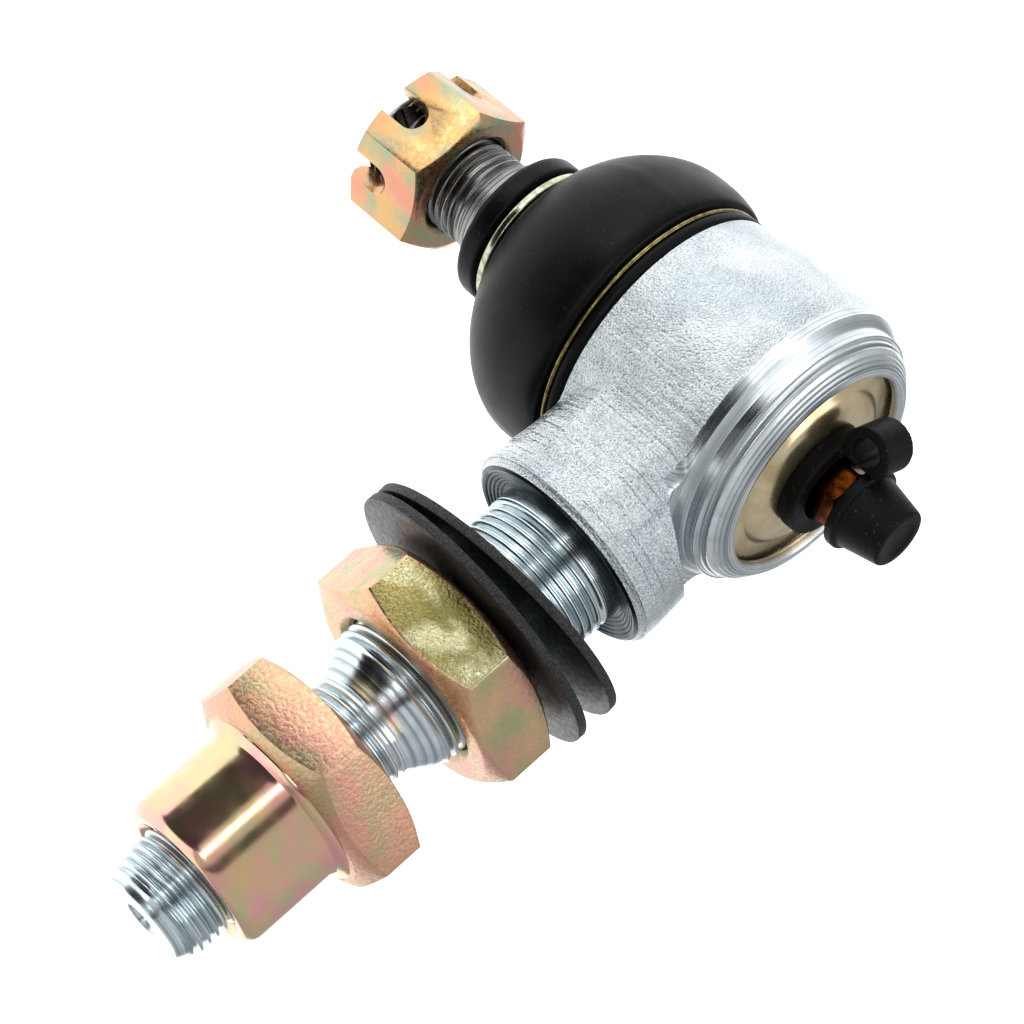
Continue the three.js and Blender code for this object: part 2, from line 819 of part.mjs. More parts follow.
function makeSleeveNut() {
  const s = sleeveNut;
  const hexEndX = s.startX + s.hexLength;
  const hex = alongX(hexagon(s.acrossFlats, s.turn, s.startX, hexEndX));
  const cone = chamferCone(s.acrossFlats, s.startX, hexEndX, s.innerFaceShare, s.outerFaceShare, "x");
  const chamfered = hex.intersect(cone);
  const sleeve = turned(
    [
      [0, hexEndX - 1],
      [s.shoulderRadius, hexEndX - 1],
      [s.shoulderRadius, hexEndX + 0.5],
      [s.sleeveRadius + 0.2, hexEndX + s.shoulderLength],
      [s.sleeveRadius, hexEndX + s.shoulderLength + 0.6],
      [s.sleeveRadius, s.sleeveEndX - s.chamfer],
      [s.sleeveRadius - s.chamfer * 0.7, s.sleeveEndX],
      [0, s.sleeveEndX],
    ],
    "x",
    detail.medium,
  );
  const bore = shank.smallRadius + clearance;
  const sink = 0.8;
  const hole = turned(
    [
      [0, s.startX - 1],
      [bore + sink + 1, s.startX - 1],
      [bore, s.startX + sink],
      [bore, s.sleeveEndX - sink],
      [bore + sink + 1, s.sleeveEndX + 1],
      [0, s.sleeveEndX + 1],
    ],
    "x",
  );
  return chamfered.add(sleeve).subtract(hole);
}

// ---------------------------------------------------------------- assembly
const tieRodEnd = new THREE.Group();
tieRodEnd.add(
  mesh("housing", makeHousing(), finishes.forging),
  mesh("ball_stud", makeBallStud(), finishes.stud),
  mesh("castle_nut", makeCastleNut(), finishes.castle),
  mesh("ball_race", makeBallRace(), finishes.acetal),
  mesh("pressure_seat", makePressureSeat(), finishes.acetal),
  mesh("preload_spring", makePreloadSpring(), finishes.spring),
  mesh("cover_plate", makeCoverPlate(), finishes.cover),
  mesh("grease_nipple", makeGreaseNipple(), finishes.brass),
  mesh("check_ball", makeCheckBall(), finishes.spring),
  mesh("nipple_spring", makeNippleSpring(), finishes.spring),
  mesh("nipple_cap", makeNippleCap(), finishes.cap),
  mesh("cap_strap", makeCapStrap(), finishes.cap),
  mesh("dust_boot", makeDustBoot(), finishes.boot),
  mesh("boot_upper_ring", makeUpperRing(), finishes.wire),
  mesh("boot_lower_ring", makeLowerRing(), finishes.wire),
  mesh("lock_washer_inner", makeWasher(innerWasher), finishes.washers),
  mesh("lock_washer_outer", makeWasher(outerWasher), finishes.washers),
  mesh("jam_nut", makeJamNut(), finishes.jam),
  mesh("sleeve_nut", makeSleeveNut(), finishes.sleeve),
);

export default tieRodEnd;
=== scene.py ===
# %% [markdown]
# # A tie rod end in Blender
#
# A tie rod end is a steel forging with a ball socket at one end and a threaded shank at the other.
# The CAD model fixes where every piece sits and how it moves. This notebook gives each piece its
# fine surface: real threads, rounded machined edges, rubber, zinc plate and the marks of its making.
# All shapes are drawn in millimetres, in the CAD frame, and are scaled to metres at the very end.

# %% Load the frame
import math

import bmesh
import bpy
from mathutils import Matrix, Vector


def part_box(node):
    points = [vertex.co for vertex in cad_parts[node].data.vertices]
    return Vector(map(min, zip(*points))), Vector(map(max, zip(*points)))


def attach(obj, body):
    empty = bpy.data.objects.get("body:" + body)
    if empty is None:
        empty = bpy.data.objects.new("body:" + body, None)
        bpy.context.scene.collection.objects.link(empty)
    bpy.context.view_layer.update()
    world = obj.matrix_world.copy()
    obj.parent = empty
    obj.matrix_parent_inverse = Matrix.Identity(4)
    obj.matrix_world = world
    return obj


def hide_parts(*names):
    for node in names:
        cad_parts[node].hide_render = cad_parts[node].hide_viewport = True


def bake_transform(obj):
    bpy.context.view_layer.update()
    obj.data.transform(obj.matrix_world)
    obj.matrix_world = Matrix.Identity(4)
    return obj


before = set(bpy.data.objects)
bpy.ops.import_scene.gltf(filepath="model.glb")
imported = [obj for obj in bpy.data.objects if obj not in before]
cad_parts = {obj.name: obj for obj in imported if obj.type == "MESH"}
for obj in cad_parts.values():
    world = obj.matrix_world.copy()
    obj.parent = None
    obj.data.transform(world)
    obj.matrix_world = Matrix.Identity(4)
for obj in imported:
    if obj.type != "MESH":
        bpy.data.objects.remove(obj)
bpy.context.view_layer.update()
MM = 0.001
X_AXIS, Y_AXIS, Z_AXIS = Vector((1, 0, 0)), Vector((0, 1, 0)), Vector((0, 0, 1))
print("CAD nodes:", len(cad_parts))


def box_mm(node):
    """A CAD node's lowest and highest corner, in millimetres."""
    low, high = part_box(node)
    return low / MM, high / MM


# %% [markdown]
# ## Colours and nodes
#
# Colours are easiest to choose as sRGB hex, the way a paint chart gives them, but shaders work in
# linear light, so one function converts them. One more function adds a shader node together with its
# settings and links, which keeps each finish short enough to read as a recipe.

# %% Colour and node helpers
def linear(hex_colour):
    """An sRGB hex colour as linear RGBA."""
    channels = [int(hex_colour[i : i + 2], 16) / 255 for i in (1, 3, 5)]
    return [c / 12.92 if c <= 0.04045 else ((c + 0.055) / 1.055) ** 2.4 for c in channels] + [1.0]


def add(tree, kind, inputs=None, **settings):
    """Adds a shader node, sets its properties, and fills or links its inputs."""
    node = tree.nodes.new("ShaderNode" + kind)
    for name, value in settings.items():
        setattr(node, name, value)
    for key, value in (inputs or {}).items():
        if isinstance(value, bpy.types.NodeSocket):
            tree.links.new(value, node.inputs[key])
        else:
            node.inputs[key].default_value = value
    return node


def start_material(name):
    """A new node material, its tree, and its object coordinates."""
    made = bpy.data.materials.new(name)
    made.use_nodes = True
    made.node_tree.nodes.clear()
    return made, made.node_tree, add(made.node_tree, "TexCoord").outputs["Object"]


def end_material(tree, **inputs):
    """Adds the surface shader and the output."""
    shader = add(tree, "BsdfPrincipled", {k.replace("_", " "): v for k, v in inputs.items()})
    add(tree, "OutputMaterial", {"Surface": shader.outputs[0]})


def per_mm(size):
    """A texture scale, in object metres, whose features are about this many millimetres across."""
    return 1 / (size * MM)


def patches(tree, where, size, low, high, detail=2.0, stretch=(1, 1, 1)):
    """Noise of a real size, spread from 0 to 1 between two of its levels."""
    mapped = add(tree, "Mapping", {"Vector": where, "Scale": stretch})
    noise = add(tree, "TexNoise", {"Vector": mapped.outputs[0], "Scale": per_mm(size), "Detail": detail})
    spread = {"Value": noise.outputs["Fac"], "From Min": low, "From Max": high}
    return add(tree, "MapRange", spread).outputs[0]


def blend_colours(tree, share, first, second):
    """A mix of two colours, each given as hex or as another node's colour."""
    pick = lambda c: linear(c) if isinstance(c, str) else c
    inputs = {0: share, 6: pick(first), 7: pick(second)}
    return add(tree, "Mix", inputs, data_type="RGBA").outputs[2]


def blend_values(tree, share, first, second):
    """A value that runs from first to second as share runs from 0 to 1."""
    return add(tree, "MapRange", {"Value": share, "To Min": first, "To Max": second}).outputs[0]


# %% [markdown]
# ## Metal finishes
#
# Nearly everything here is zinc-plated steel. Zinc over a forged skin keeps the skin's grain, so its
# highlights break up into sparkle. The same zinc over a turned thread stays bright, with fine rings
# left by the tool. Where the plate is passivated in chromate it turns yellow, with a thin oxide film
# whose thickness wanders, so it drifts between gold, pink and green like oil on water.

# %% Forged and turned zinc
def forged_zinc():
    """Blue-white zinc on a forged skin: scale leaves a 0.35 mm grain, and the die's ribs run upright."""
    made, tree, where = start_material("forged_zinc")
    worn = patches(tree, where, 11, 0.40, 0.62, 3.0)
    grain = patches(tree, where, 0.35, 0.32, 0.68, 2.0)
    ribs = patches(tree, where, 0.8, 0.35, 0.65, 1.0, (1.0, 0.05, 0.05))
    veins = patches(tree, where, 5, 0.47, 0.49, 5.0, (1.0, 1.6, 1.0))
    place = add(tree, "SeparateXYZ", {"Vector": where}).outputs["X"]
    starts = {"Value": place, "From Min": 0.005, "From Max": 0.014, "To Max": 0.8}
    ribbed = add(tree, "MapRange", starts).outputs[0]
    base = blend_colours(tree, worn, "#ccd5d9", "#e6edef")
    flecked = add(tree, "MapRange", {"Value": grain, "To Min": 0.78, "To Max": 1.0}).outputs[0]
    vein_shade = add(tree, "MapRange", {"Value": veins, "To Min": 0.93, "To Max": 1.0}).outputs[0]
    shade = add(tree, "Math", {0: flecked, 1: vein_shade}, operation="MULTIPLY").outputs[0]
    tone = add(tree, "VectorMath", {0: base, "Scale": shade}, operation="SCALE").outputs[0]
    rough = blend_values(tree, grain, 0.18, 0.34)
    lines = add(tree, "Bump", {"Strength": ribbed, "Distance": 0.00022, "Height": ribs})
    fine = {"Strength": 0.75, "Distance": 0.00016, "Height": grain, "Normal": lines.outputs[0]}
    normal = add(tree, "Bump", fine).outputs[0]
    end_material(tree, Base_Color=tone, Metallic=0.95, Roughness=rough, Normal=normal)
    return made


def turned_rings(tree, where, axis, spacing):
    """Tool rings round an axis: a wave along it for cylinders, and along the radius for faces."""
    flat = add(tree, "Mapping", {"Vector": where, "Scale": [0.0 if a else 1.0 for a in axis]})
    radius = add(tree, "VectorMath", {0: flat.outputs[0]}, operation="LENGTH")
    along = add(tree, "VectorMath", {0: where, 1: axis}, operation="DOT_PRODUCT")
    both = add(tree, "Math", {0: radius.outputs["Value"], 1: along.outputs["Value"]})
    point = add(tree, "CombineXYZ", {"X": both.outputs[0]})
    noise = {"Vector": point.outputs[0], "Scale": per_mm(spacing), "Detail": 2.0}
    return add(tree, "TexNoise", noise).outputs["Fac"]


def turned_zinc(name, axis, light, dark, rough_low, rough_high):
    """Zinc over lathe-turned steel: rings 0.3 mm apart, drawn coarser than a tool leaves them."""
    made, tree, where = start_material(name)
    rings = turned_rings(tree, where, axis, 0.3)
    worn = patches(tree, where, 5, 0.35, 0.65, 4.0)
    cut = add(tree, "MapRange", {"Value": rings, "From Min": 0.38, "From Max": 0.56}).outputs[0]
    skin = blend_colours(tree, worn, light, blend_colours(tree, 0.4, light, dark))
    base = blend_colours(tree, cut, dark, skin)
    rough = blend_values(tree, worn, rough_low, rough_high)
    bump = add(tree, "Bump", {"Strength": 0.6, "Distance": 0.00008, "Height": rings})
    end_material(tree, Base_Color=base, Metallic=1.0, Roughness=rough, Normal=bump.outputs[0])
    return made


# %% Yellow chromate
def yellow_zinc(name, gold, pink, green, grain_size, rough_low, rough_high, strength, dust=0.5):
    """Chromated zinc: the film's colour wanders over 6 to 9 mm, and the grain is the bar stock's."""
    made, tree, where = start_material(name)
    drift = patches(tree, where, 9, 0.40, 0.60, 1.0)
    tint = patches(tree, where, 6, 0.46, 0.66, 2.0, (1.3, 0.8, 1.1))
    specks = patches(tree, where, 0.35, 0.30, 0.46, 2.0)
    clean = blend_values(tree, specks, 1 - dust, 1.0)
    grain = patches(tree, where, grain_size, 0.35, 0.65, 3.0)
    warm = blend_colours(tree, drift, gold, pink)
    film = blend_colours(tree, tint, warm, green)
    dusty = blend_colours(tree, clean, "#8c7450", film)
    rough = blend_values(tree, grain, rough_low, rough_high)
    bump = add(tree, "Bump", {"Strength": strength, "Distance": 0.00008, "Height": grain})
    end_material(tree, Base_Color=dusty, Metallic=0.95, Roughness=rough, Normal=bump.outputs[0])
    return made


def plain_metal(name, light, dark, rough_low, rough_high, metallic=1.0, size=1.2, strength=0.15):
    """A plain or oiled metal skin with a slightly uneven polish."""
    made, tree, where = start_material(name)
    cloud = patches(tree, where, size, 0.35, 0.65, 4.0)
    base = blend_colours(tree, cloud, light, dark)
    rough = blend_values(tree, cloud, rough_low, rough_high)
    bump = add(tree, "Bump", {"Strength": strength, "Distance": 0.00006, "Height": cloud})
    end_material(tree, Base_Color=base, Metallic=metallic, Roughness=rough, Normal=bump.outputs[0])
    return made


# %% [markdown]
# ## Rubber and plastic
#
# The boot and the nipple's cap are moulded in nitrile rubber. It is never a true black: a little
# talc and wear greys it, and its gloss comes and goes. The bearing shells are acetal, an opaque white
# plastic with a soft shine.

# %% Rubber and plastic
def nitrile_rubber(name, base, dust, rough_low, rough_high):
    """Moulded nitrile rubber with traces of talc in its 0.4 mm texture."""
    made, tree, where = start_material(name)
    cloud = patches(tree, where, 7, 0.40, 0.70, 3.0)
    pores = patches(tree, where, 0.4, 0.35, 0.65, 2.0)
    specks = patches(tree, where, 0.5, 0.68, 0.74, 1.0)
    dusty = blend_colours(tree, specks, base, dust)
    rough = blend_values(tree, cloud, rough_low, rough_high)
    bump = add(tree, "Bump", {"Strength": 0.12, "Distance": 0.00005, "Height": pores})
    normal = bump.outputs[0]
    end_material(tree, Base_Color=dusty, Roughness=rough, Normal=normal, Specular_IOR_Level=0.12)
    return made


def acetal_plastic():
    """Natural acetal, moulded and lightly greased."""
    made, tree, where = start_material("acetal_plastic")
    cloud = patches(tree, where, 3, 0.35, 0.65, 2.0)
    base = blend_colours(tree, cloud, "#e9e5d8", "#d9d3c2")
    end_material(tree, Base_Color=base, Metallic=0.0, Roughness=blend_values(tree, cloud, 0.3, 0.5))
    return made


FORGED = forged_zinc()
TURNED_SOCKET = turned_zinc("turned_zinc_socket", (0, 0, 1), "#edf2f4", "#8b9599", 0.20, 0.36)
TURNED_SHANK = turned_zinc("turned_zinc_shank", (1, 0, 0), "#e6eff2", "#9aa9af", 0.14, 0.30)
# The neck's dished face: a near-black copy of the shank's turned zinc, as painted shade.
NECK_FACE_SHADE = turned_zinc("neck_face_painted_shade", (1, 0, 0), "#3a4750", "#14191d", 0.24, 0.36)
STUD_THREAD = turned_zinc("stud_steel_turned", (0, 0, 1), "#a3a3a2", "#4b4a49", 0.20, 0.36)
CASTLE = yellow_zinc("castle_yellow_zinc", "#c9a26c", "#cd9078", "#98a283", 0.8, 0.20, 0.32, 0.12, 0.1)
JAM_SIDE = yellow_zinc("jam_yellow_zinc", "#d6b189", "#d69c8e", "#b2ad83", 0.6, 0.24, 0.42, 0.3, 0.25)
# One flat of the jam nut: a darker olive copy of the chromate as painted shade, also rougher and more
# bumped.
JAM_ROUGH_PAINTED_SHADE = yellow_zinc("jam_olive_painted_shade", "#b3a567", "#8a8650", "#e2dcae", 0.45, 0.22, 0.5, 0.9, 0.75)
SLEEVE_HEX = yellow_zinc("sleeve_hex_zinc", "#d8ac8a", "#d6a08a", "#c0ab86", 0.6, 0.28, 0.46, 0.4, 0.35)
SLEEVE = yellow_zinc("sleeve_yellow_zinc", "#e3bd90", "#e8aba6", "#cfc096", 3.0, 0.12, 0.2, 0.03, 0.0)
WASHER = plain_metal("black_oxide_steel", "#101011", "#060607", 0.34, 0.5, 0.2, 0.8, 0.35)
WASHER_RIM = plain_metal("worn_oxide_rim", "#333333", "#0e0e0e", 0.5, 0.7, 0.3, 0.3, 0.9)
COVER = plain_metal("yellow_zinc_pressing", "#d8c6a2", "#c2ad86", 0.20, 0.32, 0.95, 4.0, 0.1)
NIPPLE = plain_metal("copper_brown_brass", "#5c2c0b", "#2c1204", 0.14, 0.26)
RING_ZINC = plain_metal("pale_zinc_band", "#c6c9b0", "#8f9078", 0.12, 0.22)
RING_WIRE = plain_metal("gold_zinc_wire", "#a89a68", "#6e6238", 0.2, 0.35)
SPRING = plain_metal("spring_steel", "#9b9fa3", "#6f7377", 0.2, 0.35)
BOOT = nitrile_rubber("boot_nitrile", "#050505", "#1c1c1c", 0.34, 0.46)
CAP = nitrile_rubber("cap_nitrile", "#080808", "#2c2c2c", 0.42, 0.6)
ACETAL = acetal_plastic()
print("finishes:", len(bpy.data.materials))


# %% [markdown]
# ## Working with bmesh
#
# Most pieces are turned on a lathe, so most of them are an outline that is spun round an axis. The
# next helpers spin an outline, round its sharp edges with a small bevel, cut one shape with another,
# and hand a finished shape over as a piece that rides on its CAD body.

# %% Spin an outline
AROUND = 144  # steps in a full turn, enough for a smooth rim at this size


def outward(shape):
    """Points every face of a closed shape outward."""
    bmesh.ops.recalc_face_normals(shape, faces=shape.faces)
    return shape


def rotated(shape, turn):
    """A shape turned about the origin by a 3 by 3 matrix."""
    bmesh.ops.rotate(shape, cent=(0, 0, 0), matrix=turn, verts=shape.verts)
    return shape


def moved(shape, offset):
    bmesh.ops.translate(shape, vec=offset, verts=shape.verts)
    return shape


def turn_about(axis, degrees):
    return Matrix.Rotation(math.radians(degrees), 3, axis)


def everything(shape):
    """All of a shape's geometry, for the operators that ask for it."""
    return shape.verts[:] + shape.edges[:] + shape.faces[:]


def spun(outline, axis, steps=AROUND):
    """A solid of revolution from (radius, along) points that close on themselves or on the axis."""
    shape = bmesh.new()
    side = Y_AXIS if abs(axis.y) < 0.5 else X_AXIS
    rim = [shape.verts.new(side * radius + axis * along) for radius, along in outline]
    edges = [shape.edges.new(pair) for pair in zip(rim, rim[1:])]
    if outline[0][0] > 0 or outline[-1][0] > 0:
        edges.append(shape.edges.new((rim[-1], rim[0])))
    around = {"cent": (0, 0, 0), "axis": axis, "angle": 2 * math.pi, "steps": steps}
    bmesh.ops.spin(shape, geom=rim + edges, use_merge=True, **around)
    bmesh.ops.remove_doubles(shape, verts=shape.verts, dist=1e-4)
    return outward(shape)


def soften(shape, width, degrees=25, segments=3):
    """Rounds every edge that turns by more than the angle."""
    sharp = [e for e in shape.edges if e.is_manifold and e.calc_face_angle() > math.radians(degrees)]
    kind = {"offset_type": "OFFSET", "affect": "EDGES", "profile": 0.5, "material": -1}
    bmesh.ops.bevel(shape, geom=sharp, offset=width, segments=segments, clamp_overlap=True, **kind)
    return shape


def arc(centre, radius, start, end, steps):
    """Points on a circle of an outline, between two angles in degrees."""
    angles = [math.radians(start + (end - start) * i / steps) for i in range(steps + 1)]
    return [(centre[0] + radius * math.cos(a), centre[1] + radius * math.sin(a)) for a in angles]


# %% Join, cut and remesh
def as_mesh(name, shape):
    """Writes a bmesh into a new mesh and frees it."""
    data = bpy.data.meshes.new(name)
    shape.to_mesh(data)
    shape.free()
    return data


def linked(name, data):
    """A new object with this data, linked to the scene."""
    made = bpy.data.objects.new(name, data)
    bpy.context.scene.collection.objects.link(made)
    return made


def temporary(shape):
    """A scratch object that holds a bmesh for a modifier."""
    return linked("scratch", as_mesh("scratch", shape))


def evaluated(made):
    """The bmesh that an object's modifiers leave."""
    bpy.context.view_layer.update()
    shape = bmesh.new()
    shape.from_object(made, bpy.context.evaluated_depsgraph_get())
    return shape


def discard(*objects):
    for made in objects:
        data = made.data
        bpy.data.objects.remove(made)
        bpy.data.meshes.remove(data)


def combine(first, second, operation):
    """Joins or cuts two closed shapes exactly: UNION, DIFFERENCE or INTERSECT."""
    kept, tool = temporary(first), temporary(second)
    step = kept.modifiers.new("combine", "BOOLEAN")
    step.operation, step.object, step.solver = operation, tool, "EXACT"
    shape = evaluated(kept)
    discard(kept, tool)
    return shape


def together(*shapes):
    """Several separate closed shapes as one bmesh."""
    all_in_one = bmesh.new()
    for shape in shapes:
        data = as_mesh("scratch", shape)
        all_in_one.from_mesh(data)
        bpy.data.meshes.remove(data)
    return all_in_one


def moulded(shape, voxel, rounds):
    """Melts overlapping shapes into one skin and relaxes it, so that inner corners become fillets."""
    made = temporary(shape)
    step = made.modifiers.new("melt", "REMESH")
    step.mode, step.voxel_size = "VOXEL", voxel
    skin = evaluated(made)
    discard(made)
    all_ways = {"use_axis_x": True, "use_axis_y": True, "use_axis_z": True}
    for _ in range(rounds):
        bmesh.ops.smooth_vert(skin, verts=skin.verts, factor=0.5, **all_ways)
    return skin


# %% Hand a piece over
def piece(shape, name, body, materials, replaces=(), choose=None, crease=32):
    """Scales a finished shape to metres and puts it on its body, with its materials."""
    for face in shape.faces:
        face.material_index = choose(face) if choose else 0
        face.smooth = True
    for edge in shape.edges:
        edge.smooth = not edge.is_manifold or edge.calc_face_angle() < math.radians(crease)
    bmesh.ops.scale(shape, vec=(MM, MM, MM), verts=shape.verts)
    data = as_mesh(name, shape)
    for finish in materials:
        data.materials.append(finish)
    made = linked(name, data)
    if body:
        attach(made, body)
    if replaces:
        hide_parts(*replaces)
    print(f"{name}: {len(data.polygons)} faces")
    return made


def dress(node, finish):
    """Gives a CAD node that keeps its own mesh a finish."""
    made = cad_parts[node]
    made.data.materials.clear()
    made.data.materials.append(finish)


# %% [markdown]
# ## The housing
#
# The real housing is forged in one heat and then machined. This is made the same way. A blank is built
# from a drum for the socket, a barrel for the neck and a waist between them, melted together with a
# voxel remesh and relaxed, so that its corners flow as hot steel does. Then spun cutters take away
# what the lathe takes: the bore, the seat for the boot, the rim that is rolled over the cover, and the
# dished face of the neck. What they leave is crisp against the forged skin.

# %% Forge the blank
housing_low, housing_high = box_mm("housing")
SOCKET_BOTTOM, LAND_END = -13.9, housing_low.z
LAND_RADIUS, SEAT_CUT_RADIUS = 20.6, 24.6
SOCKET_RADIUS = -housing_low.x
RIM_TOP = 18.1
NECK_FACE_X, NECK_FACE_RADIUS, NECK_RADIUS, NECK_ROOT_RADIUS = 36.2, 16.0, 17.5, 17.0


def waist():
    """The web that fairs the neck into the socket: upright walls up to a ridge, then a slope."""
    half_height, side, fillet, slope = 11.5, 17.1, 12.0, 0.8
    centre = (math.sqrt((SOCKET_RADIUS + fillet) ** 2 - (side + fillet) ** 2), side + fillet)
    touch = math.degrees(math.atan2(centre[1], centre[0]))
    half = [(0.0, SOCKET_RADIUS * 0.97)] + arc(centre, fillet, 180 + touch, 270, 10)
    half.append((NECK_FACE_X - 3, side))
    corners = half + [(x, -y) for x, y in reversed(half)]
    shape = bmesh.new()
    level = [shape.verts.new((x, y * slope, -half_height)) for x, y in corners]
    face = shape.faces.new(level)
    ridge = lambda x: 9.2 - 4.4 * max(0.0, x) / NECK_FACE_X
    for place, narrowing in ((lambda x: -ridge(x), 1.0), (ridge, 1.0), (lambda x: half_height, slope)):
        raised = bmesh.ops.extrude_face_region(shape, geom=[face])["geom"]
        face = next(f for f in raised if isinstance(f, bmesh.types.BMFace))
        for vert in face.verts:
            wide = min(corners, key=lambda c: (c[0] - vert.co.x) ** 2 + (c[1] - vert.co.y) ** 2 * 0.01)
            wide_y = math.copysign(abs(wide[1]), vert.co.y)
            vert.co = (vert.co.x, wide_y * narrowing, place(vert.co.x))
    return outward(shape)


def forged_blank():
    drum = [(0, LAND_END), (LAND_RADIUS + 1, LAND_END), (23.3, -15), (SOCKET_RADIUS, -3)]
    drum += [(SOCKET_RADIUS, 6.5), (23.8, 9), (23.8, RIM_TOP + 1), (0, RIM_TOP + 1)]
    barrel = [(0, 2), (NECK_ROOT_RADIUS, 2), (NECK_ROOT_RADIUS, 26), (NECK_RADIUS, 32)]
    barrel += [(NECK_RADIUS, NECK_FACE_X + 1), (0, NECK_FACE_X + 1)]
    blank = together(spun(drum, Z_AXIS, 96), spun(barrel, X_AXIS, 96), waist())
    return moulded(blank, 0.55, 6)


# %% Machine it
def ringed(start, end, count, sink):
    """A straight run of an outline with fine V grooves, as a worn tool leaves."""
    points = [start]
    for i in range(count):
        for share, deep in ((i + 0.25, 0), (i + 0.5, 1), (i + 0.75, 0)):
            t = share / count
            points.append(tuple(a + (b - a) * t + deep * c for a, b, c in zip(start, end, sink)))
    return points + [end]


def turning_cutter():
    """Everything the lathe takes about the ball's axis, from the mouth up through the rim."""
    plate_low, plate_high = box_mm("cover_plate")
    plate_radius, race_bottom, gap = plate_high.x + 0.3, -7.2, 0.3
    outline = [(0, LAND_END - 2), (17.0, LAND_END - 2), (17.0, LAND_END), (12.5, race_bottom)]
    outline += [(17.0, race_bottom), (17.0, plate_low.z - gap), (plate_radius, plate_low.z - gap)]
    outline += [(plate_radius, 16.1), (17.3, 16.5), (17.2, RIM_TOP - 0.5), (17.5, RIM_TOP - 0.1)]
    outline += arc((18.0, RIM_TOP - 0.9), 0.9, 110, 60, 3)
    outline += ringed((18.9, 17.9), (20.6, 16.4), 3, (-0.05, -0.07))
    outline += ringed((21.0, 16.0), (21.9, 14.4), 2, (-0.08, -0.04))
    outline += [(22.2, 14.3), (22.35, 12.5), (22.9, 12.1), (23.5, 11.3), (23.75, 11.0)]
    outline += ringed((23.9, 11.0), (26.4, 11.0), 4, (0, -0.1))
    outline += [(26.7, 11.25), (27.2, RIM_TOP + 6)]
    return spun(outline + [(0, RIM_TOP + 6)], Z_AXIS, 180)


def boot_seat_cutter():
    outline = [(LAND_RADIUS, LAND_END - 2), (LAND_RADIUS, SOCKET_BOTTOM)]
    outline += [(SEAT_CUT_RADIUS, SOCKET_BOTTOM), (SEAT_CUT_RADIUS, LAND_END - 2)]
    return spun(outline, Z_AXIS, 144)


def neck_face_cutter():
    """The dished face round the thread's root, and a small chamfer outside it."""
    outline = [(0, 35.0), (12.2, 35.0)] + ringed((12.5, 35.2), (15.7, NECK_FACE_X - 0.1), 5, (0, -0.16))
    outline += [(NECK_FACE_RADIUS, NECK_FACE_X), (16.6, 35.9), (17.2, 34.9), (25, 34.4), (25, 40), (0, 40)]
    return spun(outline, X_AXIS, 144)


cutters = together(turning_cutter(), boot_seat_cutter(), neck_face_cutter())
housing_shape = combine(forged_blank(), cutters, "DIFFERENCE")


def housing_finish(face):
    """0 for the forged skin, 1 for what is turned about the ball, 2 for the neck's face, whose near-black
    zinc is painted shade.
    """
    dish_start, dish_radius = 34.3, 16.3
    rim_start, rim_radius, bore_radius = 9.2, 26.72, 19.9
    centre = face.calc_center_median()
    around_ball = math.hypot(centre.x, centre.y)
    around_neck = math.hypot(centre.y, centre.z)
    if dish_start < centre.x < NECK_FACE_X + 0.05 and around_neck < dish_radius:
        return 2
    return int(centre.z > rim_start and around_ball < rim_radius or around_ball < bore_radius)


skins = [FORGED, TURNED_SOCKET, NECK_FACE_SHADE]
piece(housing_shape, "housing_forging", "rod_end", skins, ["housing"], housing_finish, 30)


# %% [markdown]
# ## Threads
#
# A thread is a V that climbs one pitch with each turn. `spin` does this when it is given a step along
# the axis as well as an angle. One turn is enough, because every other turn is a copy of it, moved by
# whole pitches. The helix is made too long, trimmed square with `bisect_plane`, and then
# pulled in to an envelope: wherever the envelope says that the bar is plain, the V fades to nothing.
# That gives run-outs, shoulders and end chamfers with one mesh.

# %% A threaded bar
THREAD_STEPS = 72


def between(points, place):
    """The value at a place on a list of (place, value) points, straight between them."""
    for (a, low), (b, high) in zip(points, points[1:]):
        if place <= b:
            return low + (high - low) * max(0.0, place - a) / (b - a)
    return points[-1][1]


def threaded_bar(start, end, pitch, major, depth, envelope, cut):
    """A bar along +X. envelope gives its radius and cut the share of full thread depth, by place."""
    crest = [(0.0, 0.0), (0.10, 0.0), (0.26, 0.5), (0.42, 1.0), (0.48, 1.04), (0.60, 1.04)]
    crest += [(0.66, 1.0), (0.82, 0.5), (1.0, 0.0)]
    turns = math.ceil((end - start) / pitch) + 2
    bar = bmesh.new()
    verts = [bar.verts.new((start - pitch + t * pitch, major - depth * (1 - h), 0)) for t, h in crest]
    edges = [bar.edges.new(pair) for pair in zip(verts, verts[1:])]
    climb = {"cent": (0, 0, 0), "axis": X_AXIS, "dvec": X_AXIS * pitch / THREAD_STEPS}
    bmesh.ops.spin(bar, geom=verts + edges, angle=2 * math.pi, steps=THREAD_STEPS, use_merge=False, **climb)
    first_turn = everything(bar)
    for turn in range(1, turns):
        copy = bmesh.ops.duplicate(bar, geom=first_turn)["geom"]
        copied = [v for v in copy if isinstance(v, bmesh.types.BMVert)]
        bmesh.ops.translate(bar, vec=X_AXIS * pitch * turn, verts=copied)
    bmesh.ops.remove_doubles(bar, verts=bar.verts, dist=2e-3)
    for place, inner in ((start, True), (end, False)):
        plane = {"plane_co": X_AXIS * place, "plane_no": X_AXIS}
        bmesh.ops.bisect_plane(bar, geom=everything(bar), clear_inner=inner, clear_outer=not inner, **plane)
    for vert in bar.verts:
        radius = math.hypot(vert.co.y, vert.co.z)
        height = 1 - (major - radius) / depth
        share = between(cut, vert.co.x)
        wanted = between(envelope, vert.co.x) - depth * share * (1 - height)
        vert.co.y *= wanted / radius
        vert.co.z *= wanted / radius
    return bar


def rim_at(bar, place):
    """The open edge of a bar at one place along X."""
    return [e for e in bar.edges if e.is_boundary and abs(e.verts[0].co.x - place) < 0.05]


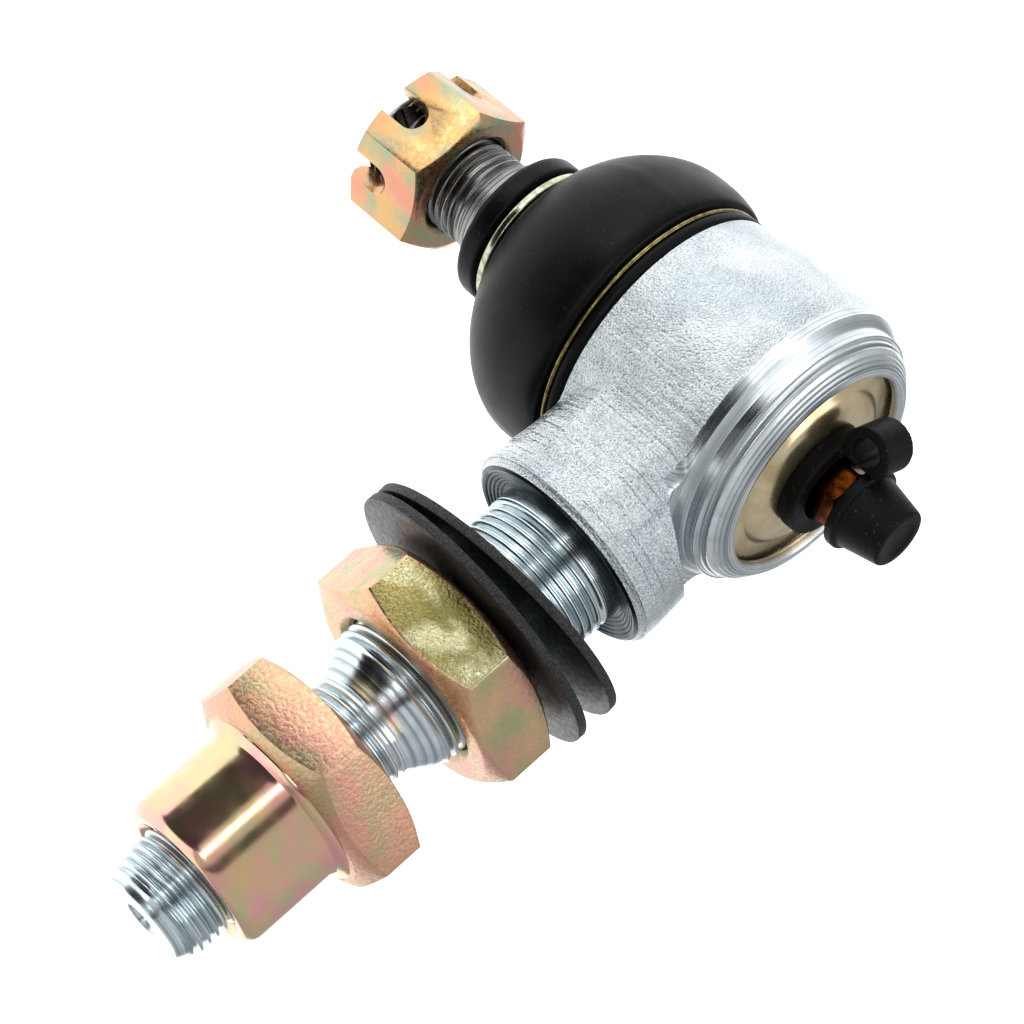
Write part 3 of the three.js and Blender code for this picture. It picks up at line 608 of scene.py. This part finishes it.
def step_end(bar, place, steps):
    """Closes an open end through (radius, along) steps, as a countersunk centre hole is drilled."""
    rim = rim_at(bar, place)
    for radius, along in steps:
        made = bmesh.ops.extrude_edge_only(bar, edges=rim)["geom"]
        verts = [v for v in made if isinstance(v, bmesh.types.BMVert)]
        rim = [e for e in made if isinstance(e, bmesh.types.BMEdge) and e.is_boundary]
        for vert in verts:
            now = math.hypot(vert.co.y, vert.co.z)
            vert.co = (along, vert.co.y * radius / now, vert.co.z * radius / now)
    bmesh.ops.holes_fill(bar, edges=rim, sides=0)


# %% The shank
PITCH = 1.5
SHANK_START, SHANK_END = 35.05, housing_high.x
LARGE, SMALL, SHANK_TIP = 12.0, 9.0, 7.2
shank_envelope = [(34, LARGE), (69.4, LARGE), (70.2, 11.5), (74.6, SMALL), (SHANK_END - 3.1, SMALL)]
shank_envelope += [(SHANK_END, SHANK_TIP)]
shank_cut = [(34, 0), (37.6, 0), (39.2, 1), (68.8, 1), (70.4, 0), (75.0, 0), (76.4, 1)]
shank_cut += [(SHANK_END - 2.6, 1), (SHANK_END - 1.2, 0.1), (SHANK_END, 0)]
shank = threaded_bar(SHANK_START, SHANK_END, PITCH, LARGE, 0.92, shank_envelope, shank_cut)
centre_hole = [(2.9, SHANK_END), (1.2, SHANK_END - 2.9), (1.2, SHANK_END - 5), (0.1, SHANK_END - 5.6)]
step_end(shank, SHANK_END, centre_hole)
step_end(shank, SHANK_START, [(6.0, SHANK_START), (0.5, SHANK_START)])
piece(outward(shank), "housing_shank", "rod_end", [TURNED_SHANK], ["housing"], crease=50)


# %% [markdown]
# ## The ball stud
#
# The stud is one turned bar: a ball, a neck, the taper that wedges into the steering arm, and a thread
# for the castle nut. The ball and taper are spun, the thread is another helix, and the hole for the
# split pin is drilled through it with a boolean. The bar is built along +X and turned to hang down.

# %% Ball stud
BALL_RADIUS, STUD_THREAD_RADIUS, PIN_HOLE_RADIUS, PIN_HOLE_Z = 13.5, 8.0, 2.0, -70.0
CASTLE_TURN = 7.3
THREAD_TOP_Z = -51.0
stud_low, stud_high = box_mm("ball_stud")
stud_end = -stud_low.z
stud_outline = [(0, stud_high.z)] + arc((0, 0), BALL_RADIUS, 56.8, -56.3, 40)
stud_outline += [(7.5, -24.5), (10.0, -28.5), (8.6, -50.8)]
stud_outline += [(7.9, THREAD_TOP_Z - 0.3), (0, THREAD_TOP_Z - 0.3)]
stud_top = soften(spun(stud_outline, Z_AXIS), 0.25, 20)
stud_envelope = [(50, 7.9), (stud_end - 1.2, STUD_THREAD_RADIUS), (stud_end, STUD_THREAD_RADIUS - 1.2)]
stud_cut = [(50, 0), (-THREAD_TOP_Z + 0.6, 0), (-THREAD_TOP_Z + 2.1, 1), (stud_end - 1.4, 1), (stud_end, 0)]
thread_start = -THREAD_TOP_Z + 0.3
stud_thread = threaded_bar(thread_start, stud_end, PITCH, STUD_THREAD_RADIUS, 0.85, stud_envelope, stud_cut)
step_end(stud_thread, stud_end, [(3.0, stud_end), (0.3, stud_end)])
step_end(stud_thread, thread_start, [(4.0, thread_start), (0.3, thread_start)])
stud_thread = rotated(outward(stud_thread), turn_about("Y", 90))
pin_hole = spun([(0, -12), (PIN_HOLE_RADIUS, -12), (PIN_HOLE_RADIUS, 12), (0, 12)], X_AXIS, 32)
pin_hole = moved(rotated(pin_hole, turn_about("Z", CASTLE_TURN + 90)), (0, 0, PIN_HOLE_Z))
stud_thread = combine(stud_thread, pin_hole, "DIFFERENCE")
piece(stud_top, "ball_stud_taper", "stud", [STUD_THREAD], ["ball_stud"])
piece(stud_thread, "ball_stud_thread", "stud", [STUD_THREAD], ["ball_stud"], crease=50)


# %% [markdown]
# ## Nuts
#
# A nut starts as a hexagonal bar. Its corners are chamfered by turning, which is the same as keeping
# only what it shares with a double cone, and that leaves the curved edges that nuts are known by.
# Then it is bored, and the castle nut is slotted for its pin.

# %% Nut helpers
def hexagonal_bar(across_flats, turn, low, high):
    """A hexagonal bar along +Z with its first corner turned from +X."""
    bar = bmesh.new()
    corner = across_flats / math.sqrt(3)
    place = Matrix.Translation((0, 0, (low + high) / 2)) @ Matrix.Rotation(math.radians(turn), 4, "Z")
    size = {"radius1": corner, "radius2": corner, "depth": high - low}
    bmesh.ops.create_cone(bar, cap_ends=True, segments=6, matrix=place, **size)
    first = max(bar.verts, key=lambda v: v.co.z)
    now = math.degrees(math.atan2(first.co.y, first.co.x))
    return rotated(bar, turn_about("Z", turn - now))


def chamfered(bar, across_flats, low, high, low_share, high_share):
    """Turns a hexagonal bar's corners at 30 degrees; each share is the flat face left, of the flats."""
    corner, flat = across_flats / math.sqrt(3) + 0.5, across_flats / 2
    slope = math.tan(math.radians(30))
    low_face, high_face = flat * low_share, flat * high_share
    outline = [(0, low), (low_face, low), (corner, low + (corner - low_face) * slope)]
    outline += [(corner, high - (corner - high_face) * slope), (high_face, high), (0, high)]
    return combine(bar, spun(outline, Z_AXIS, 120), "INTERSECT")


def lay_along_x(shape):
    """Turns a shape built on +Z to lie on +X, with its X on Y and its Y on Z."""
    return rotated(shape, Matrix(((0, 0, 1), (1, 0, 0), (0, 1, 0))))


def bore_cutter(bore, low, high, sink):
    """A bore with a countersink at both ends."""
    outline = [(0, low - 1), (bore + sink + 1, low - 1), (bore, low + sink)]
    outline += [(bore, high - sink), (bore + sink + 1, high + 1), (0, high + 1)]
    return spun(outline, Z_AXIS, 96)


def tidied(shape):
    """Clears the slivers that a boolean leaves, so that a bevel runs cleanly."""
    bmesh.ops.remove_doubles(shape, verts=shape.verts, dist=0.004)
    bmesh.ops.dissolve_degenerate(shape, edges=shape.edges, dist=0.004)
    return shape


# %% Castle nut
castle_low, castle_high = box_mm("castle_nut")


def castle_slot(low, turn):
    """A slot right across the nut. Its round end rises towards the bore, as a ball-nosed mill leaves it."""
    width, floor, reach, rise_per_mm = 5.0, low + 8.4, 20, 0.55
    outline = arc((0, floor - width / 2), width / 2, 0, 180, 14)
    outline += [(-width / 2, low - 2), (width / 2, low - 2)]
    slot = bmesh.new()
    face = slot.faces.new([slot.verts.new((-reach, y, z)) for y, z in outline])
    for _ in range(2):
        raised = bmesh.ops.extrude_face_region(slot, geom=[face])["geom"]
        face = next(f for f in raised if isinstance(f, bmesh.types.BMFace))
        bmesh.ops.translate(slot, vec=(reach, 0, 0), verts=face.verts[:])
    for vert in slot.verts:
        if vert.co.z > low:
            vert.co.z += (abs(vert.co.x) - castle_high.x + 1) * rise_per_mm
    return rotated(outward(slot), turn_about("Z", turn))


def castle_nut():
    low, high, flats = castle_low.z, castle_high.z, 24.0
    nut = chamfered(hexagonal_bar(flats, CASTLE_TURN, low, high), flats, low, high, 0.90, 0.95)
    nut = combine(nut, bore_cutter(8.3, low, high, 0.9), "DIFFERENCE")
    for i in range(3):
        nut = combine(nut, castle_slot(low, CASTLE_TURN + 90 + 60 * i), "DIFFERENCE")
    return soften(tidied(nut), 0.22, 22, 2)


piece(castle_nut(), "castle_nut_body", "castle_nut", [CASTLE], ["castle_nut"], crease=40)

# %% Jam nut
jam_low, jam_high = box_mm("jam_nut")
JAM_TURN = 137.5
FLAT_FROM_CORNER = 30  # degrees from a hexagon's corner to the middle of the next flat


def jam_nut():
    low, high, flats = jam_low.x, jam_high.x, 36.0
    nut = chamfered(hexagonal_bar(flats, JAM_TURN, low, high), flats, low, high, 0.94, 0.94)
    nut = combine(nut, bore_cutter(12.3, low, high, 1.3), "DIFFERENCE")
    return lay_along_x(soften(tidied(nut), 0.3, 22, 2))


def jam_finish(face):
    """One flat, picked by the way it faces, is rougher, and its darker olive colour with more specks is
    painted shade.
    """
    shaded_rough_flat = math.radians(JAM_TURN + FLAT_FROM_CORNER)
    towards = Vector((0, math.cos(shaded_rough_flat), math.sin(shaded_rough_flat)))
    return 1 if face.normal.dot(towards) > 0.985 else 0


jam = jam_nut()
jam.normal_update()
piece(jam, "jam_nut_body", "jam_nut", [JAM_SIDE, JAM_ROUGH_PAINTED_SHADE], ["jam_nut"], jam_finish, 40)

# %% Sleeve nut
sleeve_low, sleeve_high = box_mm("sleeve_nut")
SLEEVE_RADIUS, SLEEVE_HEX_END = 13.0, 91.4


def sleeve_nut():
    low, flats = sleeve_low.x, 35.0
    hexagon = hexagonal_bar(flats, 150, low, SLEEVE_HEX_END)
    nut = chamfered(hexagon, flats, low, SLEEVE_HEX_END, 0.99, 0.9)
    end = sleeve_high.x
    sleeve = [(0, low + 4), (14.8, low + 4), (14.8, SLEEVE_HEX_END + 0.2), (14.4, SLEEVE_HEX_END + 0.6)]
    sleeve += [(13.3, SLEEVE_HEX_END + 1.2), (SLEEVE_RADIUS, SLEEVE_HEX_END + 2.2)]
    sleeve += [(SLEEVE_RADIUS, end - 2.0), (12.75, end - 1.2), (12.1, end - 0.35), (11.5, end), (0, end)]
    nut = combine(nut, spun(sleeve, Z_AXIS, 144), "UNION")
    nut = combine(nut, bore_cutter(9.3, low, end, 1.1), "DIFFERENCE")
    return lay_along_x(soften(tidied(nut), 0.25, 24, 2))


def sleeve_finish(face):
    centre = face.calc_center_median()
    return 1 if centre.x > SLEEVE_HEX_END + 0.3 or math.hypot(centre.y, centre.z) < 14.9 else 0


nut, skins = sleeve_nut(), [SLEEVE_HEX, SLEEVE]
piece(nut, "sleeve_nut_body", "sleeve_nut", skins, ["sleeve_nut"], sleeve_finish, 38)


# %% [markdown]
# ## Lock washers
#
# The two lock washers are blanked from sheet and left slightly dished, so they press on each other when
# they are clamped. A punched edge is rounded on one side and torn on the other.

# %% Lock washers
def lock_washer(x, tilt, lean):
    """A dished ring about +X, tilted by some degrees towards the side that lean gives."""
    bore, rim, half, dish, drop = 13.6, 23.3, 0.8, 1.0, 1.2
    lower = [(bore + (rim - bore) * i / 8, -half + dish * (1 - (i / 8) ** 1.6)) for i in range(9)]
    upper = [(r, a + 2 * half) for r, a in reversed(lower)]
    shape = spun(lower + upper, X_AXIS)
    for face in shape.faces:
        centre = face.calc_center_median()
        face.material_index = int(math.hypot(centre.y, centre.z) > rim - 0.3)
    shape = soften(shape, 0.2, 40, 2)
    return moved(rotated(shape, turn_about("X", lean + 90) @ turn_about("Y", -tilt)), (x, 0, -drop))


for node, x, tilt, lean in (("lock_washer_inner", 47.7, 6.4, 205), ("lock_washer_outer", 51.9, 4, 154)):
    ring = lock_washer(x, tilt, lean)
    as_marked = lambda face: face.material_index
    piece(ring, node + "_ring", "washers", [WASHER, WASHER_RIM], [node], as_marked)

# %% [markdown]
# ## The dust boot
#
# The boot is one moulding: a stiff collar that grips the stud, a thin belly that rolls as the joint
# swings, and a base held to the socket. Two rings clamp it. Its outline is a smooth curve through the
# collar, the belly and the base, and its wall is modelled with its real thickness.

# %% Dust boot
boot_low, boot_high = box_mm("dust_boot")
COLLAR_RADIUS, COLLAR_TOP, BULGE_RADIUS, BULGE_Z, BASE_RADIUS = 12.7, -43.2, 25.4, -25.5, 23.5
GROOVE_RADIUS, BASE_GROOVE_Z = COLLAR_RADIUS - 1.3, -16.8


def belly(start, widest, end, steps, hollow):
    """A wall that swells from start to its widest and closes in to end, as two quarter waves."""
    points = []
    for i in range(steps + 1):
        a = math.pi / 2 * i / steps
        out, along = math.sin(a) ** hollow, 1 - math.cos(a)
        points.append((start[0] + (widest[0] - start[0]) * out, start[1] + (widest[1] - start[1]) * along))
    for i in range(1, steps // 2 + 1):
        a = math.pi / 2 * i / (steps // 2)
        out, along = 1 - math.cos(a), math.sin(a)
        points.append((widest[0] + (end[0] - widest[0]) * out, widest[1] + (end[1] - widest[1]) * along))
    return points


def dust_boot():
    low, high = boot_low.z, boot_high.z
    outside = [(9.2, low)] + arc((COLLAR_RADIUS - 1.2, low + 1.2), 1.2, -90, 0, 6)
    outside += arc((COLLAR_RADIUS - 0.9, COLLAR_TOP - 0.9), 0.9, 0, 90, 4)
    outside += [(GROOVE_RADIUS + 0.2, COLLAR_TOP), (GROOVE_RADIUS, COLLAR_TOP + 0.2)]
    outside += [(GROOVE_RADIUS, COLLAR_TOP + 2.0), (GROOVE_RADIUS + 0.3, COLLAR_TOP + 2.2)]
    start, widest = (COLLAR_RADIUS - 0.9, COLLAR_TOP + 2.4), (BULGE_RADIUS, BULGE_Z)
    outside += belly(start, widest, (BASE_RADIUS + 0.4, BASE_GROOVE_Z - 0.55), 22, 1.5)
    outside += [(BASE_RADIUS - 1.1, BASE_GROOVE_Z - 0.5), (BASE_RADIUS - 1.1, BASE_GROOVE_Z + 0.5)]
    outside += [(BASE_RADIUS - 0.5, BASE_GROOVE_Z + 0.6), (BASE_RADIUS, BASE_GROOVE_Z + 0.95)]
    outside += [(BASE_RADIUS, high - 0.4), (BASE_RADIUS - 0.4, high)]
    inside_start, inside_widest = (GROOVE_RADIUS - 0.4, COLLAR_TOP + 3.1), (BULGE_RADIUS - 1.8, BULGE_Z)
    inside = belly(inside_start, inside_widest, (BASE_RADIUS - 1.8, -20.2), 16, 1.5)
    outline = outside + [(20.9, high), (20.9, -19.5)] + inside[::-1] + [(9.6, COLLAR_TOP + 2.2)]
    shape = spun(outline, Z_AXIS, 160)
    for vert in shape.verts:
        parting_line(vert)
        sag(vert)
    return shape


def sag(vert):
    """Leans the belly to one side, as a boot does once it has been bent and let go."""
    lean = Vector((-0.3, 1.3, 0))
    reach = (vert.co.z - (COLLAR_TOP + 2)) / (BASE_GROOVE_Z - 1 - (COLLAR_TOP + 2))
    if 0 < reach < 1:
        vert.co += lean * math.sin(math.pi * reach) ** 2


def parting_line(vert):
    """Raises the thin flash that the two halves of the mould leave down each side of the belly."""
    flash_height, flash_width, flash_turn = 0.12, math.radians(1.6), math.radians(-112)
    radius, turn = math.hypot(vert.co.x, vert.co.y), math.atan2(vert.co.y, vert.co.x)
    if radius < 15 or vert.co.z > BASE_GROOVE_Z - 1:
        return
    off = min(abs(math.remainder(turn - flash_turn - side, 2 * math.pi)) for side in (0, math.pi))
    swell = flash_height * math.exp(-((off / flash_width) ** 2))
    vert.co.x *= 1 + swell / radius
    vert.co.y *= 1 + swell / radius


boot = piece(dust_boot(), "dust_boot_moulding", None, [BOOT], ["dust_boot"], crease=50)
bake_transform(boot)

# %% Boot rings
ring_low, ring_high = box_mm("boot_upper_ring")
band = [(ring_high.x - 0.9, ring_low.z), (ring_high.x, ring_low.z), (ring_high.x, ring_high.z)]
band += [(ring_high.x - 0.9, ring_high.z)]
band_shape = soften(spun(band, Z_AXIS), 0.42, 30, 4)
piece(band_shape, "boot_upper_ring_band", "boot_collar", [RING_ZINC], ["boot_upper_ring"])
clip_low, clip_high = box_mm("boot_lower_ring")
wire_radius = (clip_high.z - clip_low.z) / 2
wire_centre = (clip_high.x - wire_radius, (clip_low.z + clip_high.z) / 2)
wire = spun(arc(wire_centre, wire_radius, 0, 337.5, 15), Z_AXIS)
piece(wire, "boot_lower_ring_wire", "boot_base", [RING_WIRE], ["boot_lower_ring"])


# %% [markdown]
# ## Cover, grease nipple and cap
#
# The cover is a pressing with a flat rim and a dome that the nipple screws into. The nipple shows only
# its hexagon, because a rubber cap covers its head. The cap hangs on a strap moulded with a ring that
# sits round the nipple. Ring, strap and loop are melted into one skin, as a moulding is.

# %% Cover plate
cover_low, cover_high = box_mm("cover_plate")


def cover_plate():
    rim, bottom, top, thick = cover_high.x, cover_low.z, cover_high.z, 2.2
    outline = [(4.3, top - thick), (8.3, top - thick - 0.1), (11.0, bottom + 1.2), (12.4, bottom + 0.3)]
    outline += [(13.3, bottom), (rim, bottom), (rim, bottom + thick), (14.6, bottom + thick)]
    outline += [(14.1, bottom + thick + 0.08), (13.75, bottom + thick + 0.4), (13.4, bottom + thick + 0.9)]
    outline += [(12.7, top - 0.95), (11.6, top - 0.5), (9.8, top - 0.2), (7.2, top), (4.3, top)]
    return soften(spun(outline, Z_AXIS), 0.15, 28, 2)


piece(cover_plate(), "cover_plate_pressing", "rod_end", [COVER], ["cover_plate"])

# %% Grease nipple
nipple_low, nipple_high = box_mm("grease_nipple")
HEX_START, HEX_END, HEX_FLATS = 20.3, 25.3, 9.6


def grease_nipple():
    low, top = nipple_low.z, nipple_high.z
    stem = [(0.9, low), (3.4, low), (4.0, low + 0.6), (4.0, HEX_END - 0.5), (3.5, HEX_END + 0.2)]
    stem += [(2.6, HEX_END + 1.0), (2.6, top - 3.2), (3.3, top - 2.3), (3.3, top - 1.5), (1.9, top)]
    stem += [(0.9, top)]
    hexagon = hexagonal_bar(HEX_FLATS, 10, HEX_START, HEX_END)
    hexagon = chamfered(hexagon, HEX_FLATS, HEX_START, HEX_END, 1.0, 0.94)
    hexagon = combine(hexagon, spun([(0, 19), (3, 19), (3, 27), (0, 27)], Z_AXIS, 48), "DIFFERENCE")
    body = combine(hexagon, spun(stem, Z_AXIS, 72), "UNION")
    return soften(tidied(body), 0.12, 28, 2)


nipple = grease_nipple()
piece(nipple, "grease_nipple_body", "rod_end", [NIPPLE], ["grease_nipple"], crease=40)

# %% Cap
cap_low, cap_high = box_mm("nipple_cap")


def nipple_cap():
    low, top, inner = cap_low.z, cap_high.z, 3.6
    outline = [(inner, low), (6.4, low)] + arc((6.5, low + 0.5), 0.5, -80, 0, 4)
    outline += arc((6.5, low + 1.4), 0.5, 0, 80, 4) + [(6.3, low + 2.0), (6.15, low + 2.5)]
    outline += arc((4.3, top - 0.7), 0.7, 10, 80, 5) + [(3.2, top - 0.02), (2.9, top - 0.25)]
    outline += [(0, top - 0.25), (0, nipple_high.z + 0.3), (inner, nipple_high.z + 0.3)]
    return spun(outline, Z_AXIS, 96)


piece(nipple_cap(), "nipple_cap_moulding", "cap", [CAP], ["nipple_cap"], crease=45)


# %% Cap strap
strap_base = box_mm("cap_strap")[0].z


def cap_strap():
    """A ring round the nipple, and a band that rises from it and rolls over beside the cap."""
    outer, inner, low, high = 8.9, 5.9, strap_base, strap_base + 2.7
    loop_radius, band_thickness, band_width, loop_out, loop_z = 4.15, 1.7, 6.3, 10.2, 25.3
    band_from, band_turn = 7.5, -122
    ring = spun([(inner, low), (outer, low), (outer, high), (inner, high)], Z_AXIS, 96)
    loop_outline = [(loop_radius - band_thickness, -band_width / 2), (loop_radius, -band_width / 2)]
    loop_outline += [(loop_radius, band_width / 2), (loop_radius - band_thickness, band_width / 2)]
    loop = moved(spun(loop_outline, Y_AXIS, 64), (loop_out, 0, loop_z))
    leg = bmesh.new()
    bmesh.ops.create_cube(leg, size=1)
    bmesh.ops.scale(leg, vec=(band_thickness, band_width, loop_z - low - 0.5), verts=leg.verts)
    leg_x = loop_out - loop_radius + band_thickness / 2 + 0.6
    band = together(loop, moved(leg, (leg_x, 0, (loop_z + low) / 2 - 0.25)))
    plane = {"plane_co": (band_from, 0, 0), "plane_no": X_AXIS}
    bmesh.ops.bisect_plane(band, geom=everything(band), clear_inner=True, **plane)
    bmesh.ops.holes_fill(band, edges=[e for e in band.edges if e.is_boundary], sides=0)
    return moulded(together(ring, rotated(band, turn_about("Z", band_turn))), 0.22, 3)


strap = piece(cap_strap(), "cap_strap_moulding", None, [CAP], ["cap_strap"], crease=60)
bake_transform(strap)

# %% [markdown]
# ## Hidden pieces
#
# The bearing shells and the check ball can't be seen when the joint is together, so their CAD meshes
# stay and only take a finish. The two springs are made anew; in the joint the disc spring gives when
# the upper shell lifts, and the little coil gives when the check ball opens.

# %% Dress the hidden pieces
for node in ("ball_race", "pressure_seat"):
    dress(node, ACETAL)
dress("check_ball", SPRING)

# %% Springs
disc_low, disc_high = box_mm("preload_spring")
DISC_THICKNESS, DISC_HOLE_RADIUS = 0.9, 9.5
disc = [(disc_high.x, disc_low.z), (disc_high.x, disc_low.z + DISC_THICKNESS)]
disc += [(DISC_HOLE_RADIUS, disc_high.z), (DISC_HOLE_RADIUS, disc_high.z - DISC_THICKNESS)]
disc_shape = soften(spun(disc, Z_AXIS), 0.15, 30, 2)
bmesh.ops.subdivide_edges(disc_shape, edges=disc_shape.edges, cuts=1)
disc_spring = piece(disc_shape, "preload_spring_disc", None, [SPRING], ["preload_spring"])
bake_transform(disc_spring)


def coil_spring(low, high, coil_radius, wire_radius, turns, steps=24):
    """A helix of round wire from low to high, with flat ends."""
    coil = bmesh.new()
    bmesh.ops.create_circle(coil, cap_ends=False, segments=8, radius=wire_radius)
    moved(rotated(coil, turn_about("X", 90)), (coil_radius, 0, low + wire_radius))
    section = coil.verts[:] + coil.edges[:]
    rise = Z_AXIS * (high - low - 2 * wire_radius) / (steps * turns)
    climb = {"cent": (0, 0, 0), "axis": Z_AXIS, "dvec": rise}
    bmesh.ops.spin(coil, geom=section, angle=2 * math.pi * turns, steps=steps * turns, **climb)
    bmesh.ops.remove_doubles(coil, verts=coil.verts, dist=1e-4)
    bmesh.ops.holes_fill(coil, edges=[e for e in coil.edges if e.is_boundary], sides=0)
    return outward(coil)


wire_low, wire_high = box_mm("nipple_spring")
coil_shape = coil_spring(wire_low.z, wire_high.z, 1.1, 0.2, 6)
coil = piece(coil_shape, "nipple_spring_coil", None, [SPRING], ["nipple_spring"])
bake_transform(coil)

# %% [markdown]
# ## Camera, light and floor
#
# The camera stands about 0.6 m off with a long lens, so the part is seen almost without
# perspective, and it is rolled so that the shank runs down to the lower left. Light comes from large
# soft boxes. Bright metal shows what is around it, so the surroundings carry a few dark fields, which
# draw the dark streaks along the sleeve and the threads.

# %% Camera
image_right = Vector((-0.7224, 0.0934, 0.6851)).normalized()
image_down = Vector((0.6281, 0.5029, 0.5937)).normalized()
camera_back = image_right.cross(-image_down).normalized()
camera_up = camera_back.cross(image_right)
camera_place = Vector((0.2069, -0.5086, 0.2396))
camera = linked("camera", bpy.data.cameras.new("camera"))
camera.data.sensor_width, camera.data.lens = 36, 140.6
rotation = Matrix((image_right, camera_up, camera_back)).transposed().to_4x4()
camera.matrix_world = Matrix.Translation(camera_place) @ rotation
bpy.context.scene.camera = camera

# %% Lights
subject = Vector((0.035, 0, -0.01))


def soft_box(name, across, up, back, size, power):
    """An area light placed in the camera's directions, aimed at the part, its long side along the shank."""
    data = bpy.data.lights.new(name, "AREA")
    data.shape, data.energy = "RECTANGLE", power
    data.size, data.size_y = size
    light = linked(name, data)
    place = subject + image_right * across + camera_up * up + camera_back * back
    away = (place - subject).normalized()
    along = (X_AXIS - away * X_AXIS.dot(away)).normalized()
    aim = Matrix((along, away.cross(along), away)).transposed().to_4x4()
    light.matrix_world = Matrix.Translation(place) @ aim


soft_box("top_box", -0.15, 0.60, 0.30, (0.60, 0.30), 1.1)
soft_box("left_box", -0.35, 0.60, 0.05, (0.40, 0.20), 0.4)
soft_box("right_box", 0.60, -0.05, 0.35, (0.60, 0.40), 1.4)
soft_box("front_box", -0.08, 0.13, 0.80, (0.90, 0.10), 1.0)

# %% [markdown]
# The surroundings are a white tent with black cards in it. Seen along the shank, the tent's brightness
# changes with the angle round that axis. That is what draws long, straight streaks on a turned bar. A
# black flag hangs where the hollow beside the neck looks, and gives that hollow its dark, sparkling grain.

# %% Surroundings
across_shank = camera_back.cross(X_AXIS).normalized()
facing_shank = X_AXIS.cross(across_shank).normalized()
if across_shank.dot(image_down) < 0:
    across_shank = -across_shank
if facing_shank.dot(camera_back) < 0:
    facing_shank = -facing_shank
TENT = [(-180, 0.36), (-110, 0.53), (-60, 0.62), (-44, 0.60), (-38, 0.08), (-29, 0.08), (-25, 0.66)]
TENT += [(3, 0.66), (7, 0.07), (17, 0.07), (22, 0.63), (90, 0.66), (125, 0.56), (180, 0.36)]

world = bpy.data.worlds.new("studio")
bpy.context.scene.world = world
world.use_nodes = True
sky = world.node_tree
sky.nodes.clear()
towards = add(sky, "TexCoord").outputs["Generated"]


def reach(direction):
    """How far a direction of sight runs along this one."""
    return add(sky, "VectorMath", {0: towards, 1: direction}, operation="DOT_PRODUCT").outputs["Value"]


round_shank = {0: reach(across_shank), 1: reach(facing_shank)}
angle = add(sky, "Math", round_shank, operation="ARCTAN2").outputs[0]
turn_share = add(sky, "MapRange", {"Value": angle, "From Min": -math.pi, "From Max": math.pi})
cards = add(sky, "ValToRGB", {"Fac": turn_share.outputs[0]})
stops = cards.color_ramp.elements
while len(stops) < len(TENT):
    stops.new(0.5)
for stop, (degrees, light) in zip(stops, TENT):
    stop.position, stop.color = (degrees + 180) / 360, (light, light, light, 1)
seen = add(sky, "LightPath").outputs["Is Camera Ray"]
strength = add(sky, "Mix", {0: seen, 2: cards.outputs["Color"], 3: 1.0}, data_type="FLOAT").outputs[0]
background = add(sky, "Background", {"Color": linear("#fbfdff"), "Strength": strength})
add(sky, "OutputWorld", {"Surface": background.outputs[0]})
bpy.context.scene.view_settings.view_transform = "Standard"

# %% [markdown]
# Two plain shapes finish the set. The floor is pale and glows a little, so it reads as clean white and
# holds only a faint shadow. The flag is a disc of black velvet that the camera can't see.

# %% Floor and black flag
FLOOR_DROP = 0.25  # metres from the stud's end down to the floor
FLAG_TOWARDS, FLAG_DISTANCE, FLAG_RADIUS = Vector((0.52, -0.75, -0.40)).normalized(), 0.33, 0.19


def set_piece(name, shape, finish):
    """An object of the set, from a shape that is already in metres."""
    data = as_mesh(name, shape)
    data.materials.append(finish)
    return linked(name, data)


floor_finish, floor_tree, _ = start_material("pale_floor")
glow = {"Emission_Color": linear("#ffffff"), "Emission_Strength": 1.0}
end_material(floor_tree, Base_Color=linear("#f6f6f6"), Roughness=0.8, **glow)
floor_shape = bmesh.new()
bmesh.ops.create_grid(floor_shape, x_segments=1, y_segments=1, size=6)
floor = set_piece("floor", moved(floor_shape, (0, 0, stud_low.z * MM - FLOOR_DROP)), floor_finish)

flag_finish, flag_tree, _ = start_material("black_velvet")
end_material(flag_tree, Base_Color=linear("#050505"), Roughness=1.0, Specular_IOR_Level=0.0)
flag_shape = bmesh.new()
bmesh.ops.create_circle(flag_shape, cap_ends=True, segments=48, radius=FLAG_RADIUS)
flag = set_piece("flag", flag_shape, flag_finish)
flag_facing = FLAG_TOWARDS.to_track_quat("Z", "Y").to_matrix().to_4x4()
flag.matrix_world = Matrix.Translation(FLAG_TOWARDS * FLAG_DISTANCE) @ flag_facing
flag.visible_camera = flag.visible_shadow = flag.visible_diffuse = False
print("stage pieces:", floor.name, flag.name)
